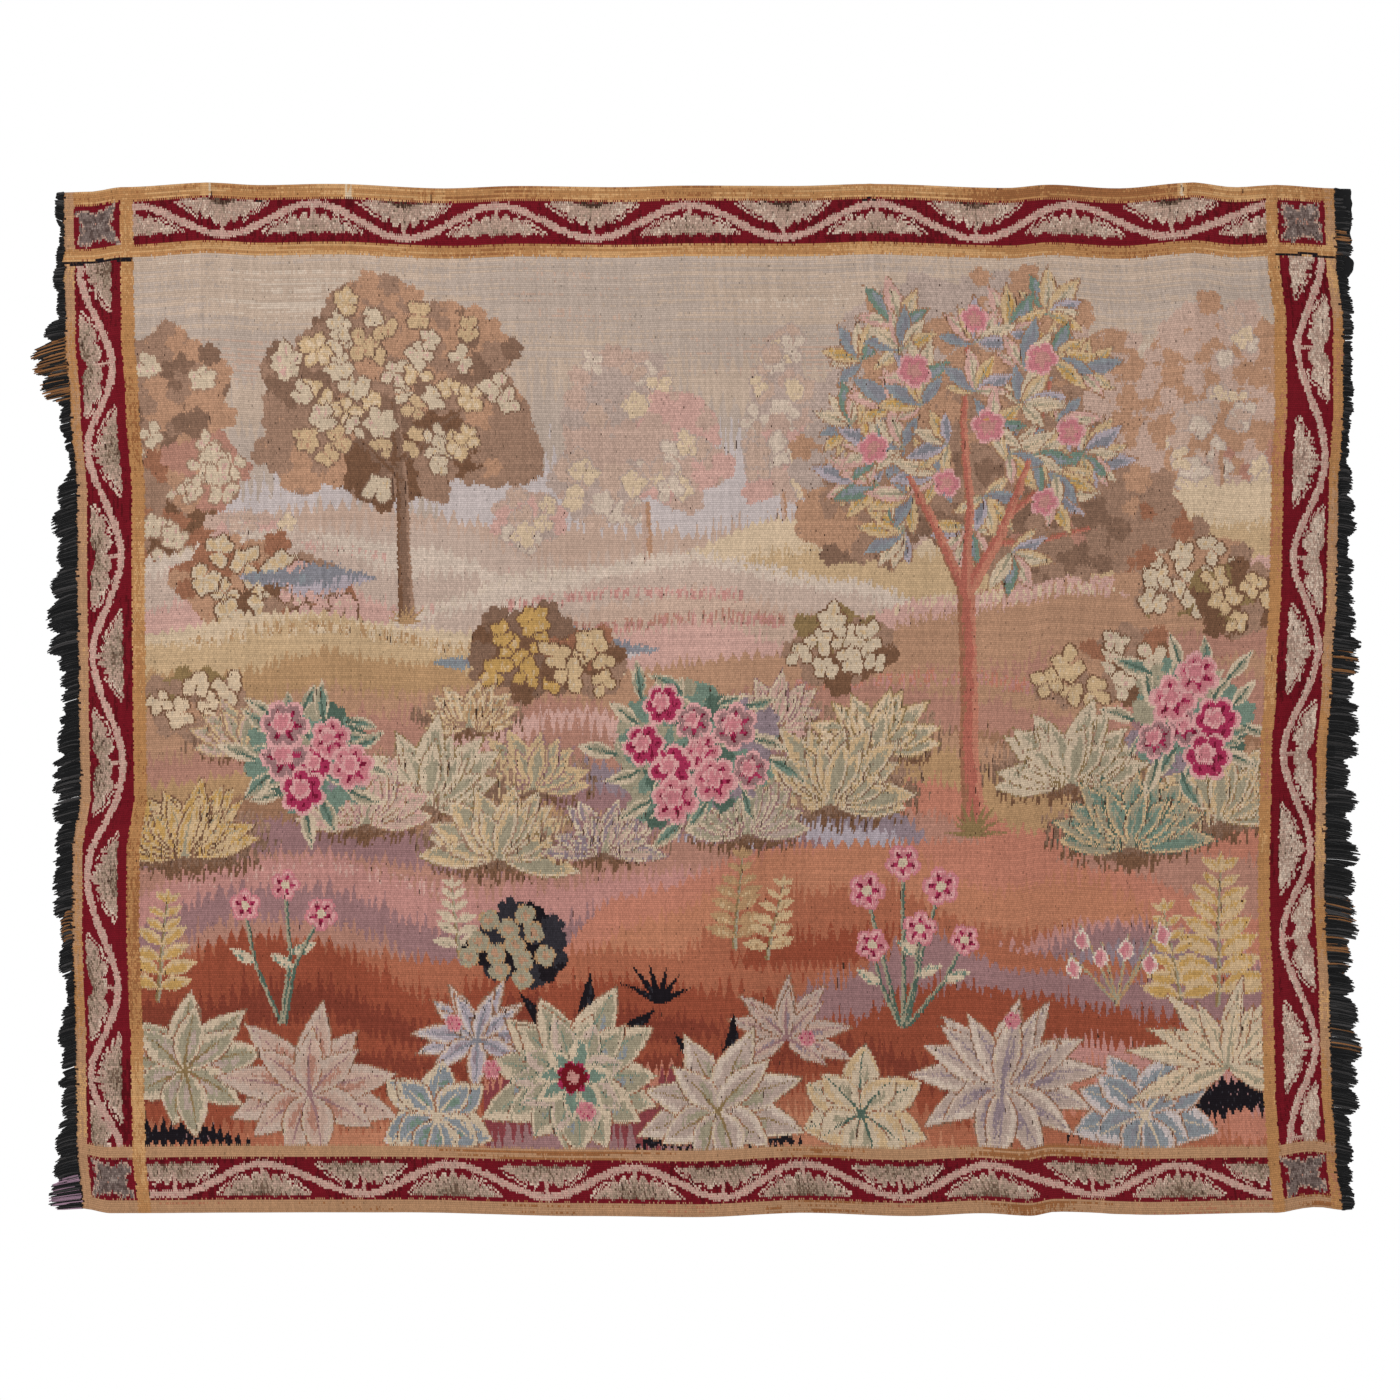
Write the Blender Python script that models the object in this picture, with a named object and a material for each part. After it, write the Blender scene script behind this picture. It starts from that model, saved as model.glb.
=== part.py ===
"""A verdure tapestry that hangs against a wall by its top edge, with a ragged pile fringe down both sides.

Metres, +Z up. The origin is the middle of the top edge, on the wall. The wall is the plane Y = 0, and the
woven front faces -Y.
"""

import random
from collections import namedtuple

import bmesh
import bpy

# Driving sizes
WIDTH = 1.556
HEIGHT = 1.247
THICKNESS = 0.0020
COLUMNS = 44
ROWS = 27
SHARP_ANGLE = 0.7

# Top and bottom edges: the height of the edge above its level line, at places across the width
Level = namedtuple("Level", "x rise")
TOP_EDGE = (
    (-0.778, -0.0070),
    (-0.745, -0.0060),
    (-0.703, -0.0005),
    (-0.600, 0.0050),
    (-0.534, 0.0020),
    (-0.451, 0.0035),
    (-0.308, -0.0020),
    (-0.220, 0.0010),
    (-0.100, -0.0005),
    (-0.013, 0.0015),
    (0.120, 0.0010),
    (0.209, 0.0035),
    (0.376, -0.0015),
    (0.427, 0.0025),
    (0.510, -0.0020),
    (0.603, 0.0050),
    (0.655, -0.0005),
    (0.704, 0.0020),
    (0.778, -0.0020),
)
BOTTOM_EDGE = (
    (-0.778, 0.0070),
    (-0.740, 0.0010),
    (-0.500, 0.0020),
    (-0.366, 0.0020),
    (-0.160, -0.0025),
    (-0.020, -0.0035),
    (0.110, 0.0015),
    (0.245, -0.0025),
    (0.335, 0.0010),
    (0.392, -0.0020),
    (0.424, 0.0030),
    (0.540, -0.0010),
    (0.690, 0.0015),
    (0.745, 0.0085),
    (0.778, 0.0050),
)

# Side edges: how far the edge stands outside half the width, at depths below the top
Side = namedtuple("Side", "depth outward")
LEFT_EDGE = (
    (0.000, -0.0010),
    (0.100, -0.0020),
    (0.180, -0.0030),
    (0.260, -0.0090),
    (0.380, -0.0175),
    (0.500, -0.0180),
    (0.620, -0.0195),
    (0.740, -0.0215),
    (0.810, -0.0120),
    (0.900, -0.0120),
    (1.060, -0.0175),
    (1.170, -0.0195),
    (1.247, -0.0260),
)
RIGHT_EDGE = (
    (0.000, -0.0060),
    (0.080, -0.0040),
    (0.170, 0.0050),
    (0.270, 0.0050),
    (0.360, -0.0005),
    (0.480, -0.0025),
    (0.600, -0.0090),
    (0.700, -0.0155),
    (0.860, -0.0180),
    (1.000, -0.0130),
    (1.100, -0.0110),
    (1.180, -0.0060),
    (1.247, 0.0010),
)

# Folds: soft swells towards the front, each along a line from its head to its foot
Fold = namedtuple("Fold", "name head_x foot_x head_depth foot_depth half_width swell")
FOLDS = (
    ("left_border_roll", -0.716, -0.700, 0.02, 1.30, 0.060, 0.0090),
    ("left_hang", -0.600, -0.560, 0.00, 0.70, 0.070, 0.0070),
    ("left_slack", -0.451, -0.500, 0.00, 1.35, 0.090, 0.0080),
    ("left_field_swell", -0.270, -0.300, 0.10, 1.40, 0.120, 0.0100),
    ("middle_pull", -0.013, 0.030, 0.00, 0.80, 0.080, 0.0060),
    ("middle_swell", 0.060, 0.000, 0.25, 1.40, 0.130, 0.0110),
    ("notch_pull", 0.209, 0.240, 0.00, 0.55, 0.055, 0.0070),
    ("right_slack", 0.427, 0.380, 0.00, 1.40, 0.100, 0.0095),
    ("right_hang", 0.603, 0.570, 0.00, 0.75, 0.070, 0.0080),
    ("right_border_roll", 0.712, 0.700, 0.02, 1.30, 0.060, 0.0100),
)

FOLD_HEAD_EASE = 3.0
FOLD_FOOT_EASE = 2.5

# The top band lies flat on the wall, and the folds grow over the height below it
HELD_BAND = 0.020
FOLDS_GROW = 0.080

# The lower edge stands off the wall, because the cloth is stiff
FOOT_STAND_OFF = 0.0120
FOOT_DEPTH = 0.75

# Fringe: a sewn-on strip down each side, and the locks rooted in it
GAP = 0.0003
STRIP_WIDTH = 0.0030
STRIP_DEPTH = 0.0026
LOCKS_PER_SIDE = 132
LOCK_MIDDLE = 0.45
LOCK_MIDDLE_SCALE = 0.74
LOCK_TIP_SCALE = 0.22
LOCK_LEAN = 0.0030
RAGGED = 0.42
UNEVEN_DROOP = 0.05
Locks = namedtuple("Locks", "depth length droop")
LEFT_FRINGE = (
    (0.000, 0.008, -0.60),
    (0.040, 0.007, 0.10),
    (0.110, 0.013, 0.10),
    (0.150, 0.010, 0.15),
    (0.185, 0.034, 0.30),
    (0.225, 0.031, 0.25),
    (0.262, 0.010, 0.30),
    (0.300, 0.015, 0.35),
    (0.335, 0.009, 0.35),
    (0.400, 0.019, 0.35),
    (0.450, 0.032, 0.30),
    (0.550, 0.031, 0.30),
    (0.620, 0.021, 0.30),
    (0.700, 0.025, 0.30),
    (0.735, 0.032, 0.30),
    (0.770, 0.016, 0.35),
    (0.845, 0.021, 0.30),
    (0.900, 0.013, 0.30),
    (1.000, 0.011, 0.35),
    (1.060, 0.023, 0.35),
    (1.100, 0.016, 0.35),
    (1.135, 0.026, 0.30),
    (1.200, 0.020, 0.30),
    (1.232, 0.026, 0.20),
    (1.247, 0.052, -0.10),
)
RIGHT_FRINGE = (
    (0.000, 0.020, 0.05),
    (0.080, 0.019, 0.10),
    (0.112, 0.009, 0.15),
    (0.150, 0.014, 0.15),
    (0.290, 0.009, 0.20),
    (0.370, 0.014, 0.20),
    (0.400, 0.012, 0.20),
    (0.500, 0.016, 0.20),
    (0.550, 0.027, 0.15),
    (0.620, 0.021, 0.15),
    (0.690, 0.035, 0.15),
    (0.800, 0.031, 0.15),
    (0.840, 0.023, 0.20),
    (0.890, 0.038, 0.15),
    (0.950, 0.029, 0.15),
    (1.020, 0.035, 0.15),
    (1.060, 0.026, 0.20),
    (1.130, 0.029, 0.20),
    (1.180, 0.018, 0.20),
    (1.225, 0.023, 0.15),
    (1.247, 0.012, 0.30),
)

# Finishes
CLOTH_COLOUR = (0.53, 0.33, 0.22, 1.0)
FRINGE_COLOUR = (0.018, 0.018, 0.016, 1.0)
WOOL_ROUGHNESS = 0.92


def smooth(t):
    """An even ease from 0 to 1."""
    t = min(max(t, 0.0), 1.0)
    return t * t * (3 - 2 * t)


def read_table(rows, place, columns):
    """A row of named values at a place along the table's first column, eased from row to row."""
    place = min(max(place, rows[0][0]), rows[-1][0])
    for near, far in zip(rows, rows[1:]):
        if place <= far[0]:
            break
    share = smooth((place - near[0]) / (far[0] - near[0]))
    return columns(*(a + (b - a) * share for a, b in zip(near, far)))


def stand_off(x, depth):
    """How far the cloth's back stands in front of the wall."""
    total = FOOT_STAND_OFF * smooth((depth - FOOT_DEPTH) / (HEIGHT - FOOT_DEPTH))
    for fold in (Fold(*row) for row in FOLDS):
        along = (depth - fold.head_depth) / (fold.foot_depth - fold.head_depth)
        ridge_x = fold.head_x + (fold.foot_x - fold.head_x) * along
        across = smooth(1 - abs(x - ridge_x) / fold.half_width)
        ends = smooth(FOLD_HEAD_EASE * along) * smooth(FOLD_FOOT_EASE * (1 - along))
        total += fold.swell * across * ends
    return total * smooth((depth - HELD_BAND) / FOLDS_GROW)


def cloth_point(across, down):
    """A point of the cloth's back, from 0 to 1 across its width and 0 to 1 down its height."""
    x = (across - 0.5) * WIDTH
    depth = down * HEIGHT
    top = read_table(TOP_EDGE, x, Level).rise
    bottom = read_table(BOTTOM_EDGE, x, Level).rise
    left = -WIDTH / 2 - read_table(LEFT_EDGE, depth, Side).outward
    right = WIDTH / 2 + read_table(RIGHT_EDGE, depth, Side).outward
    return (
        left + (right - left) * across,
        -stand_off(x, depth),
        -depth + top * (1 - down) + bottom * down,
    )


def row_places():
    """The rows of the cloth's mesh, from 0 to 1 down its height. The first is the foot of the held band."""
    held = HELD_BAND / HEIGHT
    return [0.0] + [held + (1 - held) * k / (ROWS - 1) for k in range(ROWS)]


def edge_point(across, down):
    """A point of the cloth's side edge, straight between the rows of its mesh."""
    rows = row_places()
    for upper, lower in zip(rows, rows[1:]):
        if down <= lower:
            break
    share = (down - upper) / (lower - upper)
    a = cloth_point(across, upper)
    b = cloth_point(across, lower)
    return tuple(p + (q - p) * share for p, q in zip(a, b))


def new_material(name, colour):
    material = bpy.data.materials.new(name)
    material.use_nodes = True
    shader = material.node_tree.nodes["Principled BSDF"]
    shader.inputs["Base Color"].default_value = colour
    shader.inputs["Roughness"].default_value = WOOL_ROUGHNESS
    shader.inputs["Metallic"].default_value = 0.0
    material.diffuse_color = colour
    return material


def new_object(name, bm, material):
    """Finishes a bmesh as a named object of the scene."""
    bmesh.ops.recalc_face_normals(bm, faces=bm.faces)
    mesh = bpy.data.meshes.new(name)
    bm.to_mesh(mesh)
    bm.free()
    mesh.materials.append(material)
    piece = bpy.data.objects.new(name, mesh)
    bpy.context.scene.collection.objects.link(piece)
    return piece


def make_cloth():
    """The woven cloth: one thin sheet with the hung outline and its folds."""
    bm = bmesh.new()
    bmesh.ops.create_grid(bm, x_segments=COLUMNS, y_segments=ROWS, size=0.5)
    rows = row_places()
    for vert in bm.verts:
        row = round((0.5 - vert.co.y) * ROWS)
        vert.co = cloth_point(vert.co.x + 0.5, rows[row])
    front = bmesh.ops.extrude_face_region(bm, geom=bm.faces[:])
    moved = [e for e in front["geom"] if isinstance(e, bmesh.types.BMVert)]
    bmesh.ops.translate(bm, verts=moved, vec=(0, -THICKNESS, 0))
    piece = new_object("tapestry_cloth", bm, new_material("woven wool", CLOTH_COLOUR))
    piece.data.shade_smooth()
    piece.data.set_sharp_from_angle(angle=SHARP_ANGLE)


def strip_section(side, down):
    """The four corners of a fringe strip's section: inner back, inner front, outer front, outer back."""
    across = 0.0 if side < 0 else 1.0
    x, y, z = edge_point(across, down)
    inner = x + side * GAP
    outer = inner + side * STRIP_WIDTH
    middle = y - THICKNESS / 2
    back = min(middle + STRIP_DEPTH / 2, 0.0)
    front = back - STRIP_DEPTH
    return [(inner, back, z), (inner, front, z), (outer, front, z), (outer, back, z)]


def grow_lock(bm, root, side, length, slope, lean):
    """Draws one outer face of the strip out into a drooping lock that narrows to its tip."""
    foot = root.calc_center_median()
    face = root
    for reach, scale in ((LOCK_MIDDLE, LOCK_MIDDLE_SCALE), (1.0, LOCK_TIP_SCALE)):
        outline = [(v.co - face.calc_center_median()) for v in face.verts]
        face = bmesh.ops.extrude_discrete_faces(bm, faces=[face])["faces"][0]
        shrink = scale if reach < 1 else scale / LOCK_MIDDLE_SCALE
        centre = foot.copy()
        centre.x += side * length * reach
        centre.y += lean * reach
        centre.z -= slope * length * reach
        for vert, offset in zip(face.verts, outline):
            vert.co = centre + offset * shrink


def make_fringe(name, side, table, material):
    """A narrow strip along one side edge with its row of ragged locks, in one solid."""
    draws = random.Random(name)
    bm = bmesh.new()
    end = bm.faces.new([bm.verts.new(corner) for corner in strip_section(side, 0.0)])
    roots = []
    for k in range(LOCKS_PER_SIDE):
        before = set(bm.faces)
        if k == 0:
            grown = bmesh.ops.extrude_face_region(bm, geom=[end])["geom"]
            end = next(e for e in grown if isinstance(e, bmesh.types.BMFace))
        else:
            end = bmesh.ops.extrude_discrete_faces(bm, faces=[end])["faces"][0]
        corners = strip_section(side, (k + 1) / LOCKS_PER_SIDE)
        for vert, corner in zip(end.verts, corners):
            vert.co = corner
        walls = set(bm.faces) - before - {end}
        roots.append(max(walls, key=lambda wall: side * wall.calc_center_median().x))
    for k, root in enumerate(roots):
        here = read_table(table, (k + 0.5) / LOCKS_PER_SIDE * HEIGHT, Locks)
        length = here.length * (1 - RAGGED * draws.random() ** 2)
        slope = here.droop + draws.uniform(-UNEVEN_DROOP, UNEVEN_DROOP)
        lean = -draws.uniform(0, LOCK_LEAN)
        grow_lock(bm, root, side, length, slope, lean)
    new_object(name, bm, material)


def main():
    for old in list(bpy.data.objects):
        bpy.data.objects.remove(old, do_unlink=True)
    make_cloth()
    fringe_wool = new_material("fringe wool", FRINGE_COLOUR)
    make_fringe("fringe_left", -1, LEFT_FRINGE, fringe_wool)
    make_fringe("fringe_right", 1, RIGHT_FRINGE, fringe_wool)


main()
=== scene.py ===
import math
import random
from collections import namedtuple

import bmesh
import bpy
import numpy as np
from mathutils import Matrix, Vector


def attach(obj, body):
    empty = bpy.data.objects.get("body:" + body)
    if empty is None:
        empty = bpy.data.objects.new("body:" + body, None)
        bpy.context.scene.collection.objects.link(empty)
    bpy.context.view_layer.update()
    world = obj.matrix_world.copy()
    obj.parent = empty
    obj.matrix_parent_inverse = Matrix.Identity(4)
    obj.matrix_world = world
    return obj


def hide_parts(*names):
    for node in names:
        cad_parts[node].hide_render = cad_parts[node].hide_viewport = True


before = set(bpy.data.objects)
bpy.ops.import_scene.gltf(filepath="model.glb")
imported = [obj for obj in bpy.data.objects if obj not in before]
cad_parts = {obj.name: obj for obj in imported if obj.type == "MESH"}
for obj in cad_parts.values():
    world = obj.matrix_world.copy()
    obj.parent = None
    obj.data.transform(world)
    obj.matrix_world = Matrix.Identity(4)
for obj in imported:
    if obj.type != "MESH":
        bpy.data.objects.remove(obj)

bl_info = {
    "name": "Verdure Tapestry",
    "version": (1, 0, 0),
    "blender": (4, 5, 0),
    "location": "View3D > Sidebar > Tapestry",
    "description": "Weaves a hung verdure tapestry with a vine border and a ragged pile fringe",
    "category": "Object",
}

# The hung cloth, with the sizes, edges and folds of its solid
WIDTH = 1.556
HEIGHT = 1.247
THICKNESS = 0.002
HELD_BAND = 0.02
FOLDS_GROW = 0.08
FOOT_STAND_OFF = 0.012
FOOT_DEPTH = 0.75
FOLD_HEAD_EASE = 3.0
FOLD_FOOT_EASE = 2.5


def table(columns, *rows):
    """A short table: each row's values go by the names of its columns."""
    row_of = namedtuple("Row", columns)
    return [row_of(*row) for row in rows]


# Height of the edges above their level lines, across the width
TOP_EDGE = table(
    "x rise",
    (-0.778, -0.007), (-0.745, -0.006), (-0.703, -0.0005), (-0.6, 0.005), (-0.534, 0.002),
    (-0.451, 0.0035), (-0.308, -0.002), (-0.22, 0.001), (-0.1, -0.0005), (-0.013, 0.0015),
    (0.12, 0.001), (0.209, 0.0035), (0.376, -0.0015), (0.427, 0.0025), (0.51, -0.002),
    (0.603, 0.005), (0.655, -0.0005), (0.704, 0.002), (0.778, -0.002),
)
BOTTOM_EDGE = table(
    "x rise",
    (-0.778, 0.007), (-0.74, 0.001), (-0.5, 0.002), (-0.366, 0.002), (-0.16, -0.0025),
    (-0.02, -0.0035), (0.11, 0.0015), (0.245, -0.0025), (0.335, 0.001), (0.392, -0.002),
    (0.424, 0.003), (0.54, -0.001), (0.69, 0.0015), (0.745, 0.0085), (0.778, 0.005),
)

# How far the side edges stand outside half the width, down the height
LEFT_EDGE = table(
    "depth outward",
    (0.0, -0.001), (0.1, -0.002), (0.18, -0.003), (0.26, -0.009), (0.38, -0.0175),
    (0.5, -0.018), (0.62, -0.0195), (0.74, -0.0215), (0.81, -0.012), (0.9, -0.012),
    (1.06, -0.0175), (1.17, -0.0195), (1.247, -0.026),
)
RIGHT_EDGE = table(
    "depth outward",
    (0.0, -0.006), (0.08, -0.004), (0.17, 0.005), (0.27, 0.005), (0.36, -0.0005),
    (0.48, -0.0025), (0.6, -0.009), (0.7, -0.0155), (0.86, -0.018), (1.0, -0.013),
    (1.1, -0.011), (1.18, -0.006), (1.247, 0.001),
)

# The solid's folds: soft swells towards the front
FOLDS = table(
    "name head_x foot_x head_depth foot_depth half_width swell",
    ("left_border_roll", -0.716, -0.7, 0.02, 1.3, 0.06, 0.009),
    ("left_hang", -0.6, -0.56, 0.0, 0.7, 0.07, 0.007),
    ("left_slack", -0.451, -0.5, 0.0, 1.35, 0.09, 0.008),
    ("left_field_swell", -0.27, -0.3, 0.1, 1.4, 0.12, 0.01),
    ("middle_pull", -0.013, 0.03, 0.0, 0.8, 0.08, 0.006),
    ("middle_swell", 0.06, 0.0, 0.25, 1.4, 0.13, 0.011),
    ("notch_pull", 0.209, 0.24, 0.0, 0.55, 0.055, 0.007),
    ("right_slack", 0.427, 0.38, 0.0, 1.4, 0.1, 0.0095),
    ("right_hang", 0.603, 0.57, 0.0, 0.75, 0.07, 0.008),
    ("right_border_roll", 0.712, 0.7, 0.02, 1.3, 0.06, 0.01),
)

# Creases finer than the solid's folds, from a head to a foot: across and depth are measured from the top left
CREASES = table(
    "name across_a depth_a across_b depth_b half_width rise",
    ("under_left_square", 0.0, 0.083, 0.095, 0.083, 0.012, 0.0024),
    ("under_right_square", 1.462, 0.076, 1.556, 0.076, 0.012, 0.0024),
    ("left_pin_pull", 0.178, 0.0, 0.165, 0.16, 0.01, 0.0021),
    ("second_pin_pull", 0.35, 0.0, 0.352, 0.12, 0.01, 0.0015),
    ("notch_ridge", 0.987, 0.0, 0.99, 0.15, 0.007, 0.0024),
    ("right_pin_pull", 1.381, 0.0, 1.372, 0.17, 0.01, 0.0023),
    ("right_edge_pull", 1.482, 0.0, 1.476, 0.11, 0.008, 0.0018),
    ("left_border_dent", 0.01, 0.255, 0.11, 0.285, 0.014, -0.0011),
    ("left_border_pucker", 0.0, 0.47, 0.095, 0.455, 0.012, 0.0015),
    ("left_low_pucker", 0.0, 0.905, 0.1, 0.925, 0.014, 0.0015),
    ("right_border_pucker", 1.46, 0.34, 1.556, 0.325, 0.012, 0.0016),
    ("right_low_pucker", 1.455, 0.8, 1.556, 0.82, 0.014, 0.0018),
    ("slit_line_left", 0.3, 0.277, 0.52, 0.272, 0.006, -0.0009),
    ("slit_line_right", 1.09, 0.283, 1.38, 0.274, 0.006, -0.0009),
    ("field_cockle", 0.64, 0.56, 0.9, 0.64, 0.03, 0.0018),
    ("low_cockle", 0.34, 0.9, 0.56, 0.86, 0.03, 0.0018),
    ("foot_ruck", 1.27, 1.247, 1.25, 1.12, 0.02, 0.0027),
    ("foot_ruck_right", 1.48, 1.247, 1.45, 1.15, 0.018, 0.003),
)
# Waves of the fine cockle over the whole sheet: their lengths across and down it, their turn and height
COCKLES = table(
    "length_x length_z turn height",
    (0.061, 0.083, 0.4, 0.0003),
    (0.037, 0.049, 1.9, 0.00023),
    (0.023, 0.031, 0.9, 0.00014),
    (0.14, 0.11, 2.6, 0.00052),
)

# The weave: its warps lie across the picture, so the weft passes stand upright in it
WARP_PITCH = 0.0026
PASSES_PER_CELL = 2
# How many warps and pairs of passes the coarser back takes to a cell
BACK_CELLS = 2

# The border's stripes, from the outer edge inwards
STRIPES = table(
    "side outer_gold band inner_gold",
    ("top", 0.017, 0.0535, 0.0152),
    ("bottom", 0.016, 0.051, 0.0146),
    ("left", 0.0146, 0.056, 0.0158),
    ("right", 0.0146, 0.0575, 0.0144),
)
STRIPE = {row.side: row for row in STRIPES}
FIELD_LEFT = sum(STRIPE["left"][1:])
FIELD_TOP = sum(STRIPE["top"][1:])
FIELD_RIGHT = WIDTH - sum(STRIPE["right"][1:])
FIELD_BOTTOM = HEIGHT - sum(STRIPE["bottom"][1:])

# Yarns, as red, green and blue from 0 to 255
YARNS = {
    "crimson": (106, 15, 28),
    "crimson_deep": (84, 10, 20),
    "gold": (170, 122, 78),
    "gold_light": (190, 146, 100),
    "gold_deep": (144, 94, 58),
    "gold_faded": (168, 128, 96),
    "gold_rose": (164, 108, 82),
    "vine": (180, 146, 133),
    "vine_line": (124, 66, 66),
    "border_leaf": (168, 140, 125),
    "border_sage": (143, 123, 106),
    "border_shade": (104, 82, 68),
    "border_cream": (197, 175, 158),
    "square_grey": (110, 94, 89),
    "square_light": (140, 124, 117),
    "square_deep": (84, 68, 64),
    "sky": (185, 163, 145),
    "sky_pink": (184, 156, 139),
    "sky_grey": (176, 158, 145),
    "sky_light": (196, 177, 160),
    "lavender": (188, 175, 172),
    "lavender_deep": (166, 154, 160),
    "dune": (184, 161, 147),
    "dune_light": (196, 177, 162),
    "rose": (179, 128, 120),
    "rose_pale": (192, 152, 141),
    "rose_tan": (167, 121, 105),
    "sand": (187, 158, 123),
    "sand_light": (200, 176, 148),
    "olive": (170, 134, 98),
    "olive_deep": (132, 108, 73),
    "tan": (171, 131, 105),
    "tan_deep": (147, 109, 85),
    "taupe": (148, 116, 97),
    "taupe_deep": (124, 95, 78),
    "brown": (112, 80, 60),
    "brown_red": (146, 99, 76),
    "ghost": (182, 153, 138),
    "ghost_grey": (172, 151, 140),
    "terracotta": (160, 96, 72),
    "terracotta_light": (176, 117, 90),
    "rust": (141, 71, 51),
    "rust_deep": (121, 57, 43),
    "plum": (126, 60, 64),
    "mauve": (144, 108, 108),
    "mauve_grey": (137, 119, 125),
    "slate": (126, 124, 130),
    "blue_grey": (130, 134, 138),
    "blue_deep": (103, 109, 120),
    "teal": (108, 126, 112),
    "teal_deep": (76, 94, 82),
    "sage": (150, 140, 118),
    "cream": (192, 172, 148),
    "cream_yellow": (192, 163, 126),
    "ochre": (182, 144, 86),
    "pink": (186, 116, 122),
    "pink_light": (202, 150, 148),
    "magenta": (156, 44, 78),
    "wine": (108, 16, 44),
    "coral": (166, 96, 82),
    "coral_light": (179, 117, 97),
    "navy": (22, 18, 24),
    "navy_soft": (44, 42, 48),
    # A dark brown yarn, also woven in as painted shade where the cloth has open slits
    "slit": (62, 42, 34),
    "white_wool": (206, 190, 174),
}
YARN_NAMES = list(YARNS)
YARN_NUMBER = {name: k for k, name in enumerate(YARN_NAMES)}


def smooth(t):
    """An even ease from 0 to 1."""
    t = np.clip(t, 0.0, 1.0)
    return t * t * (3 - 2 * t)


def eased(rows, place, column=1):
    """A column's values at places along the table's first column, eased from row to row."""
    knots = np.array([row[0] for row in rows])
    values = np.array([row[column] for row in rows])
    place = np.clip(place, knots[0], knots[-1])
    k = np.clip(np.searchsorted(knots, place, side="right") - 1, 0, len(knots) - 2)
    share = smooth((place - knots[k]) / (knots[k + 1] - knots[k]))
    return values[k] + (values[k + 1] - values[k]) * share


def stand_off(x, depth):
    """How far the cloth's back stands in front of the wall."""
    total = FOOT_STAND_OFF * smooth((depth - FOOT_DEPTH) / (HEIGHT - FOOT_DEPTH))
    for fold in FOLDS:
        along = (depth - fold.head_depth) / (fold.foot_depth - fold.head_depth)
        ridge_x = fold.head_x + (fold.foot_x - fold.head_x) * along
        across = smooth(1 - np.abs(x - ridge_x) / fold.half_width)
        ends = smooth(FOLD_HEAD_EASE * along) * smooth(FOLD_FOOT_EASE * (1 - along))
        total = total + fold.swell * across * ends
    return total * smooth((depth - HELD_BAND) / FOLDS_GROW)


def fine_relief(across, depth):
    """The small creases and cockles that lie over the folds."""
    total = 0.0
    for crease in CREASES:
        run = np.array((crease.across_b - crease.across_a, crease.depth_b - crease.depth_a))
        dx, dz = across - crease.across_a, depth - crease.depth_a
        along = np.clip((dx * run[0] + dz * run[1]) / (run @ run), 0, 1)
        away = np.hypot(dx - along * run[0], dz - along * run[1])
        total = total + crease.rise * smooth(1 - away / crease.half_width)
    for row in COCKLES:
        wave_x = np.sin(2 * np.pi * across / row.length_x + row.turn + 3 * np.sin(5 * depth + row.turn))
        wave_z = np.cos(2 * np.pi * depth / row.length_z + 2 * np.sin(7 * across + row.turn))
        total = total + row.height * wave_x * wave_z
    return total


def drape(across, depth, forward, fine):
    """Hangs points of the flat web: across and down from its top left corner, forward of the solid's back."""
    x = across - WIDTH / 2
    down = depth / HEIGHT
    left = -WIDTH / 2 - eased(LEFT_EDGE, depth)
    right = WIDTH / 2 + eased(RIGHT_EDGE, depth)
    return np.stack(
        (
            left + (right - left) * across / WIDTH,
            -stand_off(x, depth) - forward - fine * fine_relief(across, depth),
            -depth + eased(TOP_EDGE, x) * (1 - down) + eased(BOTTOM_EDGE, x) * down,
        ),
        axis=-1,
    )


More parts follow.
